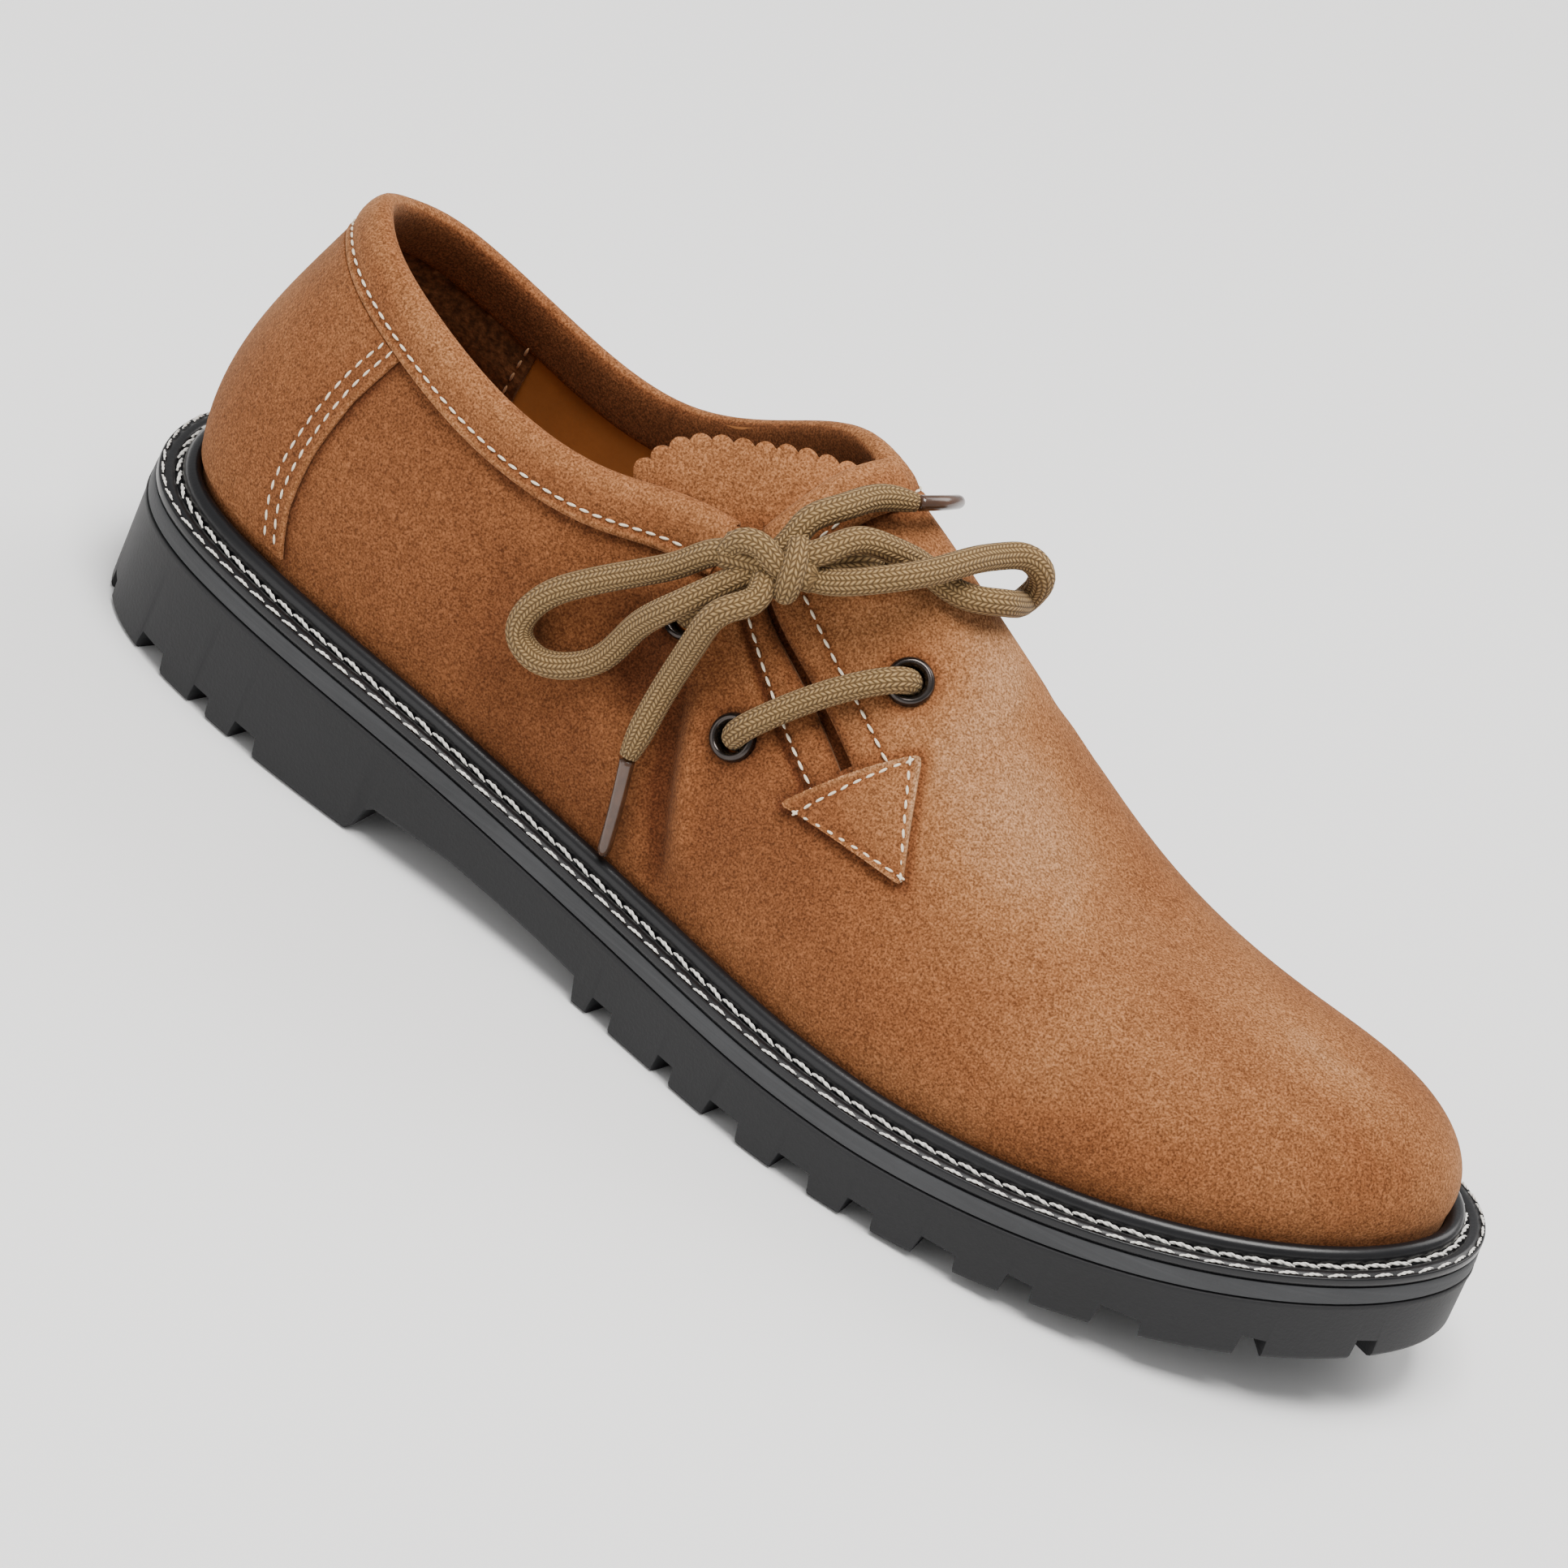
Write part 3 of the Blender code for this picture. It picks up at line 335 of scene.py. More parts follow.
endFront = (
    (-0.0157, -0.0225, 0.0999),
    (-0.0153, -0.0209, 0.1026),
    (-0.0123, -0.0158, 0.1060),
    (-0.0094, -0.0077, 0.1075),
    (-0.0044, -0.0016, 0.1076),
)
agletFront = (
    (-0.0041, -0.0010, 0.1075),
    (-0.0021, 0.0031, 0.1075),
    (-0.0017, 0.0119, 0.1051),
)


def smoothLine(xs, ys, x):
    """Natural cubic spline through a table's rows."""
    xs = np.asarray(xs, float)
    ys = np.asarray(ys, float)
    n = len(xs)
    h = np.diff(xs)
    a = np.zeros((n, n))
    b = np.zeros(n)
    a[0, 0] = a[-1, -1] = 1.0
    for i in range(1, n - 1):
        a[i, i - 1] = h[i - 1]
        a[i, i] = 2 * (h[i - 1] + h[i])
        a[i, i + 1] = h[i]
        b[i] = 6 * ((ys[i + 1] - ys[i]) / h[i] - (ys[i] - ys[i - 1]) / h[i - 1])
    m = np.linalg.solve(a, b)
    x = np.clip(x, xs[0], xs[-1])
    i = np.clip(np.searchsorted(xs, x) - 1, 0, n - 2)
    t = x - xs[i]
    u = xs[i + 1] - x
    return ((m[i] * u ** 3 + m[i + 1] * t ** 3) / (6 * h[i])
            + (ys[i] / h[i] - m[i] * h[i] / 6) * u
            + (ys[i + 1] / h[i] - m[i + 1] * h[i] / 6) * t)


def closedCurve(points, count):
    """Smooth closed curve through the points, as many even steps round as asked."""
    p = np.asarray(points, float)
    n = len(p)
    q = np.vstack([p[-3:], p, p[:4]])
    d = np.r_[0, np.cumsum(np.linalg.norm(np.diff(q, axis=0), axis=1))]
    t = np.linspace(d[3], d[n + 3], 2400)
    c = np.column_stack([smoothLine(d, q[:, 0], t), smoothLine(d, q[:, 1], t)])
    run = np.r_[0, np.cumsum(np.linalg.norm(np.diff(c, axis=0), axis=1))]
    s = np.linspace(0, run[-1], count + 1)
    return np.column_stack([np.interp(s, run, c[:, 0]), np.interp(s, run, c[:, 1])])


def soleOutline():
    """Each side of the sole from heel tip to toe tip, with its inward normals."""
    rows = [(0.0, heelTip)] + [(a, o) for a, o, _ in outline] + [(1.0, toeTip)]
    rows += [(a, i) for a, _, i in reversed(outline)]
    pts = [((a - 0.5) * soleLength, w * soleBreadth) for a, w in rows]
    c = closedCurve(pts, 1600)
    low, high = c[:, 1].min(), c[:, 1].max()
    c[:, 1] = (c[:, 1] - (low + high) / 2) * soleBreadth / (high - low)
    tangent = np.gradient(c, axis=0)
    tangent[0] = tangent[-1] = (c[1] - c[-2])
    tangent /= np.linalg.norm(tangent, axis=1)[:, None]
    inward = np.column_stack([-tangent[:, 1], tangent[:, 0]])
    toe = int(np.argmax(c[:, 0]))
    heel = int(np.argmin(c[:, 0]))
    c = np.vstack([c[heel:-1], c[:heel + 1]])
    inward = np.vstack([inward[heel:-1], inward[:heel + 1]])
    toe = (toe - heel) % 1600
    return {"outer": (c[:toe + 1], inward[:toe + 1]),
            "inner": (c[toe:][::-1], inward[toe:][::-1])}


edges = soleOutline()


def edge(side, s, inset):
    """Point of the outline at share s of the way from heel to toe, moved inwards."""
    c, inward = edges[side]
    i = np.clip(np.asarray(s, float), 0, 1) * (len(c) - 1)
    k = np.arange(len(c))
    x = np.interp(i, k, c[:, 0]) + inset * np.interp(i, k, inward[:, 0])
    y = np.interp(i, k, c[:, 1]) + inset * np.interp(i, k, inward[:, 1])
    return x, y


def share(x):
    return x / soleLength + 0.5


def spring(x):
    """Lift of the toe above the floor."""
    t = np.clip((share(x) - springStart) / (1 - springStart), 0, None)
    return toeSpring * t ** 1.7


def wallTop(x):
    a = np.array(wallHeights)
    return smoothLine(a[:, 0], a[:, 1], share(x)) + spring(x)


def weltBase(x):
    return wallTop(x) + layerGap + bandHeight + layerGap


def deck(x):
    """Top of the welt's flat strip."""
    return weltBase(x) + weltStrip


featherInset = beadInnerInset + featherGap


def column(table, index, s):
    a = np.array(table)
    return smoothLine(a[:, 0], a[:, index], s)


def lastPoint(s, v):
    """The upper's outer face. s runs from heel to toe, v from the outer feather (0) over the
    ridge (1) to the inner feather (2)."""
    s, v = np.broadcast_arrays(np.asarray(s, float), np.asarray(v, float))
    outer = v <= 1.0
    h = np.where(outer, v, 2.0 - v)
    fo = edge("outer", s, featherInset)
    fi = edge("inner", s, featherInset)
    fx = np.where(outer, fo[0], fi[0])
    fy = np.where(outer, fo[1], fi[1])
    heelX = edge("outer", 0.0, featherInset)[0]
    toeX = edge("outer", 1.0, featherInset)[0]
    meanX = (fo[0] + fi[0]) / 2
    back = heelX + ridgeBack
    front = toeX - ridgeFront
    rx = back + (front - back) * (meanX - heelX) / (toeX - heelX)
    rz = column(ridge, 1, share(rx)) * instepHeight
    ry = column(ridge, 2, share(rx)) * soleBreadth
    n = np.where(outer, column(sections, 1, s), column(sections, 2, s))
    bulge = np.where(outer, column(sections, 3, s), column(sections, 4, s))
    draw = np.where(outer, column(sections, 5, s), column(sections, 6, s))
    z0 = deck(fx) + featherGap
    z1 = z0 + beadRise
    turn = np.clip((h - beadShare) / (1 - beadShare), 0, 1) * math.pi / 2
    c = np.clip(np.cos(turn), 0, 1)
    w = np.clip(np.sin(turn), 0, 1)
    reach = (c ** n + w ** n) ** (-1 / n)
    along = 1 - reach * c
    rise = reach * w
    bump = 6.75 * (bulge * rise * (1 - rise) ** 2 - draw * rise ** 2 * (1 - rise))
    ux = fx - rx
    uy = fy - ry
    size = np.hypot(ux, uy)
    x = fx + (rx - fx) * along + ux / size * bump
    y = fy + (ry - fy) * along + uy / size * bump
    low = h < beadShare
    z = np.where(low, z0 + beadRise * h / beadShare, z1 + (rz - z1) * rise)
    return np.stack([x, y, z], axis=-1)


def tread(x):
    """Underside of the lugs above the floor."""
    a = np.array(arch)
    return spring(x) + np.interp(share(x), a[:, 0], a[:, 1], left=0.0, right=0.0)


sample = 1e-3


def onLast(s, v, lift):
    """Point lifted off the last along its normal."""
    s = np.asarray(s, float)
    v = np.asarray(v, float)
    p = lastPoint(s, v)
    n = lastNormal(s, v)
    return p + n * lift


def halfNormal(s, v):
    s0 = np.clip(s - sample, 0, 1)
    s1 = np.clip(s + sample, 0, 1)
    v0 = np.clip(v - sample, np.where(v > 1, 1.0, 0.0), 2)
    v1 = np.clip(v + sample, 0, np.where(v > 1, 2.0, 1.0))
    n = np.cross(lastPoint(s1, v) - lastPoint(s0, v), lastPoint(s, v1) - lastPoint(s, v0))
    return n / np.linalg.norm(n, axis=-1)[..., None]


def lastNormal(s, v):
    """Outward normal of the last, evened out across the back, toe and ridge lines."""
    n = halfNormal(s, v)
    seam = (s <= sample) | (s >= 1 - sample)
    n = np.where(seam[..., None], n + halfNormal(s, 2 - v), n)
    ridge = np.abs(v - 1) < sample
    low = np.clip(v - sample, 0, 1)
    high = np.clip(v + sample, 1, 2)
    n = np.where(ridge[..., None], halfNormal(s, low) + halfNormal(s, high), n)
    return n / np.linalg.norm(n, axis=-1)[..., None]


def resample(path, step):
    """Points along a path at even steps measured on the last."""
    path = np.asarray(path, float)
    fine = np.vstack([np.linspace(a, b, 12, endpoint=False) for a, b in zip(path, path[1:])] + [path[-1:]])
    p = lastPoint(fine[:, 0], fine[:, 1])
    run = np.r_[0, np.cumsum(np.linalg.norm(np.diff(p, axis=0), axis=1))]
    n = max(1, int(round(run[-1] / step)))
    t = np.linspace(0, run[-1], n + 1)
    return np.column_stack([np.interp(t, run, fine[:, 0]), np.interp(t, run, fine[:, 1])])


def curveThrough(rows, count=24):
    """Smooth path through a table's rows of s and v."""
    rows = np.asarray(rows, float)[:, :2]
    d = np.r_[0, np.cumsum(np.hypot(*(np.diff(rows, axis=0) * (1, 0.35)).T))]
    t = np.linspace(0, d[-1], count)
    return np.column_stack([smoothLine(d, rows[:, 0], t), smoothLine(d, rows[:, 1], t)])


def sideways(path, distance):
    """The path moved sideways on the last; a positive distance is to its left, seen from outside."""
    path = np.asarray(path, float)
    s, v = path[:, 0], path[:, 1]
    p = lastPoint(s, v)
    along = np.gradient(p, axis=0)
    along /= np.linalg.norm(along, axis=1)[:, None]
    left = np.cross(lastNormal(s, v), along)
    ps = (lastPoint(np.clip(s + sample, 0, 1), v) - lastPoint(np.clip(s - sample, 0, 1), v))
    ps /= (np.clip(s + sample, 0, 1) - np.clip(s - sample, 0, 1))[:, None]
    pv = (lastPoint(s, v + sample) - lastPoint(s, v - sample)) / (2 * sample)
    aa = (ps * ps).sum(1)
    bb = (pv * pv).sum(1)
    ab = (ps * pv).sum(1)
    ca = (left * ps).sum(1)
    cb = (left * pv).sum(1)
    det = aa * bb - ab * ab
    ds = (ca * bb - cb * ab) / det
    dv = (cb * aa - ca * ab) / det
    d = np.broadcast_to(distance, s.shape)
    return np.column_stack([np.clip(s + ds * d, 0, 1), v + dv * d])


def innerSide(path):
    """The same path measured from the inner feather."""
    path = np.asarray(path, float)
    return np.column_stack([path[:, 0], 2 - path[:, 1]])


# Mesh making

roundTheSide = 0.330     # rough length of one unit of s on the last
overTheFoot = 0.105      # rough length of one unit of v
seamEnd = 1e-6
borderGap = 0.5
sliver = 1e-12             # area of a triangle that has no width


def inside(loop, q):
    """Which of the points q lie inside the closed path."""
    a = loop
    b = np.roll(loop, -1, axis=0)
    hit = np.zeros(len(q), bool)
    for (x0, y0), (x1, y1) in zip(a, b):
        if y0 == y1:
            continue
        cross = (y0 > q[:, 1]) != (y1 > q[:, 1])
        at = x0 + (q[:, 1] - y0) * (x1 - x0) / (y1 - y0)
        hit ^= cross & (q[:, 0] < at)
    return hit


def fill(loop, holes, step, extra=()):
    """Fill a closed path of s and v with evenly spaced triangles."""
    scale = np.array([roundTheSide, overTheFoot])
    rings = [np.asarray(r, float) * scale for r in [loop] + holes]
    border = np.vstack(rings)
    edges = []
    start = 0
    for r in rings:
        n = len(r)
        edges += [(start + k, start + (k + 1) % n) for k in range(n)]
        start += n
    low = border.min(0)
    high = border.max(0)
    rows = []
    y = low[1] + step / 2
    shift = 0.0
    while y < high[1]:
        xs = np.arange(low[0] + shift, high[0], step)
        rows.append(np.column_stack([xs, np.full(len(xs), y)]))
        y += step * math.sqrt(3) / 2
        shift = step / 2 - shift
    grid = np.vstack(rows) if rows else np.zeros((0, 2))
    if len(extra):
        more = np.asarray(extra, float) * scale
        tree = kdtree.KDTree(len(more))
        for k, p in enumerate(more):
            tree.insert((*p, 0.0), k)
        tree.balance()
        clear = np.array([tree.find((*p, 0.0))[2] > step * 0.6 for p in grid], bool)
        grid = np.vstack([more, grid[clear]])
    keep = inside(rings[0], grid)
    for r in rings[1:]:
        keep &= ~inside(r, grid)
    grid = grid[keep]
    if len(grid):
        mids = np.vstack([border] + [(r + np.roll(r, -1, axis=0)) / 2 for r in rings])
        tree = kdtree.KDTree(len(mids))
        for k, p in enumerate(mids):
            tree.insert((*p, 0.0), k)
        tree.balance()
        grid = grid[np.array([tree.find((*p, 0.0))[2] > borderGap * step for p in grid], bool)]
    points = [Vector(p) for p in np.vstack([border, grid])]
    verts, _, faces, _, _, _ = geometry.delaunay_2d_cdt(points, edges, [], 0, 1e-9)
    verts = np.array([tuple(p) for p in verts])
    faces = np.array([tuple(f) for f in faces])
    mid = verts[faces].mean(1)
    sides = verts[faces[:, 1:]] - verts[faces[:, :1]]
    area = np.abs(sides[:, 0, 0] * sides[:, 1, 1] - sides[:, 0, 1] * sides[:, 1, 0]) / 2
    keep = inside(rings[0], mid) & (area > sliver)
    for r in rings[1:]:
        keep &= ~inside(r, mid)
    return verts / scale, faces[keep]




# Pieces of scenery


def simpleMaterial(name):
    finish = bpy.data.materials.new(name)
    finish.use_nodes = True
    return finish, finish.node_tree.nodes, finish.node_tree.links, finish.node_tree.nodes["Principled BSDF"]


def noiseNode(nodes, links, coords, scale, detail, roughness=0.55, distortion=0.0):
    node = nodes.new("ShaderNodeTexNoise")
    node.inputs["Scale"].default_value = scale
    node.inputs["Detail"].default_value = detail
    node.inputs["Roughness"].default_value = roughness
    node.inputs["Distortion"].default_value = distortion
    links.new(coords, node.inputs["Vector"])
    return node.outputs["Fac"]


def rampNode(nodes, links, value, stops):
    node = nodes.new("ShaderNodeValToRGB")
    ramp = node.color_ramp
    while len(ramp.elements) < len(stops):
        ramp.elements.new(0.5)
    for element, (at, color) in zip(ramp.elements, stops):
        element.position = at
        element.color = (*color, 1.0) if len(color) == 3 else color
    links.new(value, node.inputs["Fac"])
    return node.outputs["Color"]


def mixNode(nodes, links, factor, first, second, blend="MIX"):
    node = nodes.new("ShaderNodeMix")
    node.data_type = "RGBA"
    node.blend_type = blend
    for socket, value in ((node.inputs[0], factor), (node.inputs[6], first), (node.inputs[7], second)):
        if isinstance(value, bpy.types.NodeSocket):
            links.new(value, socket)
        elif isinstance(value, float):
            socket.default_value = value
        else:
            socket.default_value = (*value, 1.0)
    return node.outputs[2]


def mathNode(nodes, links, operation, first, second=0.0, third=0.0):
    node = nodes.new("ShaderNodeMath")
    node.operation = operation
    for socket, value in zip(node.inputs, (first, second, third)):
        if isinstance(value, bpy.types.NodeSocket):
            links.new(value, socket)
        else:
            socket.default_value = value
    return node.outputs[0]


def bumpNode(nodes, links, height, strength, distance, previous=None):
    node = nodes.new("ShaderNodeBump")
    node.inputs["Strength"].default_value = strength
    node.inputs["Distance"].default_value = distance
    links.new(height, node.inputs["Height"])
    if previous is not None:
        links.new(previous, node.inputs["Normal"])
    return node.outputs["Normal"]


def objectCoords(nodes):
    return nodes.new("ShaderNodeTexCoord").outputs["Object"]


suedeLook = {
    "deep": (0.088, 0.026, 0.009),
    "mid": (0.190, 0.068, 0.024),
    "light": (0.272, 0.115, 0.045),
    "pale": (0.380, 0.205, 0.102),
    "napScale": 2300.0,
    "tuftScale": 620.0,
    "patchScale": 24.0,
}


def suede(name, tint=1.0, patchSeed=0.0, coarse=1.0):
    # Brushed suede: swept patches and the painted shade, a fine mottled nap and short tufts
    finish, nodes, links, shader = simpleMaterial(name)
    coords = objectCoords(nodes)
    shift = nodes.new("ShaderNodeMapping")
    shift.inputs["Location"].default_value = (patchSeed, patchSeed * 0.7, 0.0)
    links.new(coords, shift.inputs["Vector"])
    coords = shift.outputs["Vector"]
    painted = nodes.new("ShaderNodeAttribute")
    painted.attribute_name = "shade"
    patches = noiseNode(nodes, links, coords, suedeLook["patchScale"], 5.0, 0.62, 0.8)
    nap = noiseNode(nodes, links, coords, suedeLook["napScale"] * coarse, 2.0, 0.6)
    tufts = noiseNode(nodes, links, coords, suedeLook["tuftScale"] * coarse, 4.0, 0.7, 0.4)
    swept = mathNode(nodes, links, "MULTIPLY_ADD", patches, 0.55, -0.275)
    level = mathNode(nodes, links, "ADD", painted.outputs["Fac"], swept)
    deep, mid, light, pale = (tuple(c * tint for c in suedeLook[k]) for k in ("deep", "mid", "light", "pale"))
    broad = rampNode(nodes, links, level, ((0.12, deep), (0.46, mid), (0.68, light), (0.95, pale)))
    grain = rampNode(nodes, links, nap, ((0.34, (0.38, 0.32, 0.28)), (0.50, (1.0, 1.0, 1.0)), (0.66, (1.75, 1.9, 2.1))))
    color = mixNode(nodes, links, 0.80, broad, grain, "MULTIPLY")
    tuft = rampNode(nodes, links, tufts, ((0.34, (0.80, 0.76, 0.72)), (0.52, (1.0, 1.0, 1.0)), (0.70, (1.16, 1.19, 1.23))))
    color = mixNode(nodes, links, 0.75, color, tuft, "MULTIPLY")
    links.new(color, shader.inputs["Base Color"])
    shader.inputs["Roughness"].default_value = 0.95
    shader.inputs["Specular IOR Level"].default_value = 0.10
    shader.inputs["Sheen Weight"].default_value = 0.14
    shader.inputs["Sheen Roughness"].default_value = 0.5
    shader.inputs["Sheen Tint"].default_value = (1.0, 0.62, 0.36, 1.0)
    normal = bumpNode(nodes, links, nap, 0.55, 0.0003)
    normal = bumpNode(nodes, links, tufts, 0.40, 0.0005 / coarse, normal)
    links.new(normal, shader.inputs["Normal"])
    return finish


def leather(name, color, roughness, grainScale=420.0):
    finish, nodes, links, shader = simpleMaterial(name)
    coords = objectCoords(nodes)
    broad = noiseNode(nodes, links, coords, 30.0, 3.0)
    grain = noiseNode(nodes, links, coords, grainScale, 4.0, 0.6)
    low = tuple(c * 0.72 for c in color)
    high = tuple(min(1.0, c * 1.25) for c in color)
    links.new(rampNode(nodes, links, broad, ((0.3, low), (0.7, high))), shader.inputs["Base Color"])
    shader.inputs["Roughness"].default_value = roughness
    shader.inputs["Specular IOR Level"].default_value = 0.35
    links.new(bumpNode(nodes, links, grain, 0.25, 0.0004), shader.inputs["Normal"])
    return finish


def rubber(name, color, roughness, scratches=0.0, grain=0.3, grainScale=1400.0, coat=0.0):
    # Moulded rubber with a fine pebble, and scuffs along its length where it is buffed
    finish, nodes, links, shader = simpleMaterial(name)
    coords = objectCoords(nodes)
    broad = noiseNode(nodes, links, coords, 22.0, 5.0, 0.6)
    pebble = noiseNode(nodes, links, coords, grainScale, 2.0)
    low = tuple(c * 0.75 for c in color)
    high = tuple(c * 1.35 for c in color)
    paint = rampNode(nodes, links, broad, ((0.3, low), (0.7, high)))
    if scratches:
        stretch = nodes.new("ShaderNodeMapping")
        stretch.inputs["Scale"].default_value = (30.0, 30.0, 1600.0)
        links.new(coords, stretch.inputs["Vector"])
        lines = noiseNode(nodes, links, stretch.outputs["Vector"], 1.0, 4.0, 0.6)
        pale = rampNode(nodes, links, lines, ((0.45, (0.0, 0.0, 0.0)), (0.75, (1.0, 1.0, 1.0))))
        paint = mixNode(nodes, links, mathNode(nodes, links, "MULTIPLY", pale, scratches), paint,
                        tuple(min(1.0, c * 2.4) for c in color))
    links.new(paint, shader.inputs["Base Color"])
    shader.inputs["Specular IOR Level"].default_value = 0.28
    rough = mathNode(nodes, links, "MULTIPLY_ADD", broad, 0.18, roughness - 0.09)
    links.new(rough, shader.inputs["Roughness"])
    shader.inputs["Coat Weight"].default_value = coat
    shader.inputs["Coat Roughness"].default_value = 0.25
    links.new(bumpNode(nodes, links, pebble, grain, 0.00025), shader.inputs["Normal"])
    return finish


def threadFinish(name, color, roughness=0.7):
    finish, nodes, links, shader = simpleMaterial(name)
    coords = objectCoords(nodes)
    fibre = noiseNode(nodes, links, coords, 2600.0, 2.0)
    low = tuple(c * 0.78 for c in color)
    links.new(rampNode(nodes, links, fibre, ((0.3, low), (0.6, color))), shader.inputs["Base Color"])
    shader.inputs["Roughness"].default_value = roughness
    shader.inputs["Sheen Weight"].default_value = 0.2
    links.new(bumpNode(nodes, links, fibre, 0.3, 0.0002), shader.inputs["Normal"])
    return finish


braidLook = {
    "dark": (0.085, 0.048, 0.018),
    "mid": (0.235, 0.142, 0.056),
    "light": (0.390, 0.255, 0.115),
    "stepAlong": 0.00095,     # length of one stitch of the braid
    "strandsRound": 16.0,     # strands that cross one ring of the cord
}


def braidFinish(name):
    # Herringbone braid from the cord's own UV map: u runs along it in metres, v once round it
    finish, nodes, links, shader = simpleMaterial(name)
    uv = nodes.new("ShaderNodeUVMap")
    uv.uv_map = "cord"
    split = nodes.new("ShaderNodeSeparateXYZ")
    links.new(uv.outputs["UV"], split.inputs["Vector"])
    along = mathNode(nodes, links, "DIVIDE", split.outputs["X"], braidLook["stepAlong"])
    around = mathNode(nodes, links, "MULTIPLY", split.outputs["Y"], braidLook["strandsRound"])
    rib = mathNode(nodes, links, "PINGPONG", around, 1.0)
    slope = mathNode(nodes, links, "ADD", along, mathNode(nodes, links, "MULTIPLY", rib, 0.85))
    wave = mathNode(nodes, links, "SINE", mathNode(nodes, links, "MULTIPLY", slope, 2 * math.pi))
    wave = mathNode(nodes, links, "MULTIPLY_ADD", wave, 0.5, 0.5)
    ribEdge = mathNode(nodes, links, "SINE", mathNode(nodes, links, "MULTIPLY", rib, math.pi))
    height = mathNode(nodes, links, "MULTIPLY", mathNode(nodes, links, "POWER", wave, 0.6), ribEdge)
    fibre = noiseNode(nodes, links, objectCoords(nodes), 2400.0, 2.0)
    # Painted shade and highlight: the colour follows the braid's height, darker down between the strands and lighter on
    # their crowns
    stops = ((0.05, braidLook["dark"]), (0.42, braidLook["mid"]), (0.95, braidLook["light"]))
    color = rampNode(nodes, links, height, stops)
    speck = rampNode(nodes, links, fibre, ((0.3, (0.75, 0.75, 0.75)), (0.65, (1.15, 1.15, 1.15))))
    links.new(mixNode(nodes, links, 0.8, color, speck, "MULTIPLY"), shader.inputs["Base Color"])
    shader.inputs["Roughness"].default_value = 0.8
    shader.inputs["Specular IOR Level"].default_value = 0.2
    shader.inputs["Sheen Weight"].default_value = 0.04
    links.new(bumpNode(nodes, links, height, 0.8, 0.0004), shader.inputs["Normal"])
    return finish


def plainFinish(name, color, roughness, metallic=0.0, coat=0.0):
    finish, nodes, links, shader = simpleMaterial(name)
    coords = objectCoords(nodes)
    broad = noiseNode(nodes, links, coords, 300.0, 3.0)
    low = tuple(c * 0.8 for c in color)
    high = tuple(c * 1.2 for c in color)
    links.new(rampNode(nodes, links, broad, ((0.35, low), (0.65, high))), shader.inputs["Base Color"])
    shader.inputs["Roughness"].default_value = roughness
    shader.inputs["Metallic"].default_value = metallic
    shader.inputs["Coat Weight"].default_value = coat
    shader.inputs["Coat Roughness"].default_value = 0.08
    return finish


# Placing and joining


def placed(name, mesh, *finishes):
    for finish in finishes:
        mesh.materials.append(finish)
    mesh.shade_smooth()
    obj = bpy.data.objects.new(name, mesh)
    bpy.context.scene.collection.objects.link(obj)
    return obj


def meshOf(name, verts, faces):
    mesh = bpy.data.meshes.new(name)
    mesh.from_pydata(np.asarray(verts, float).tolist(), [], [tuple(int(i) for i in f) for f in faces])
    mesh.validate()
    return mesh


def outwards(mesh):
    bm = bmesh.new()
    bm.from_mesh(mesh)
    bmesh.ops.recalc_face_normals(bm, faces=bm.faces)
    bm.to_mesh(mesh)
    bm.free()
    return mesh


def applied(obj):
    # The evaluated mesh takes the place of the live modifiers
    graph = bpy.context.evaluated_depsgraph_get()
    mesh = bpy.data.meshes.new_from_object(obj.evaluated_get(graph))
    old = obj.data
    obj.modifiers.clear()
    obj.data = mesh
    mesh.name = old.name + "Mesh"
    return obj


def softEdges(obj, width, segments=3, angle=50.0):
    bevel = obj.modifiers.new("softEdges", "BEVEL")
    bevel.width = width
    bevel.segments = segments
    bevel.limit_method = "ANGLE"
    bevel.angle_limit = math.radians(angle)
    return applied(obj)


def finished(piece, slot, *nodes):
    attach(piece, "root")
    if nodes:
        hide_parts(*nodes)
    return piece


def nearest(points, path):
    # Distance from each point to a line of closely spaced points
    tree = kdtree.KDTree(len(path))
    for k, p in enumerate(path):
        tree.insert(p, k)
    tree.balance()
    return np.array([tree.find(p)[2] for p in points])


def onSurface(path, lift=0.0, step=0.0006):
    fine = resample(path, step)
    return onLast(fine[:, 0], fine[:, 1], lift)


# Soft troughs and ridges of the worn suede, given in the shoe's own sizes
creaseLook = {
    "scale": 1.0,
    "rows": (
        # s and v of each end, half width in metres, depth in metres (a ridge is negative)
        (0.418, 0.330, 0.463, 0.075, 0.0024, 0.0024),
        (0.436, 0.320, 0.476, 0.130, 0.0026, -0.0016),
        (0.395, 0.290, 0.425, 0.120, 0.0050, -0.0008),
        (0.382, 0.370, 0.404, 0.240, 0.0040, 0.0018),
        (0.412, 0.462, 0.470, 0.385, 0.0016, -0.0006),
        (0.500, 0.760, 0.560, 0.780, 0.0060, 0.0007),
        (0.585, 0.700, 0.600, 1.250, 0.0070, 0.0009),
        (0.630, 0.640, 0.640, 1.300, 0.0070, 0.0006),
        (0.560, 1.350, 0.600, 1.650, 0.0060, 0.0009),
        (0.300, 0.300, 0.330, 0.110, 0.0060, 0.0007),
        (0.330, 1.500, 0.400, 1.720, 0.0070, 0.0010),
    ),
}


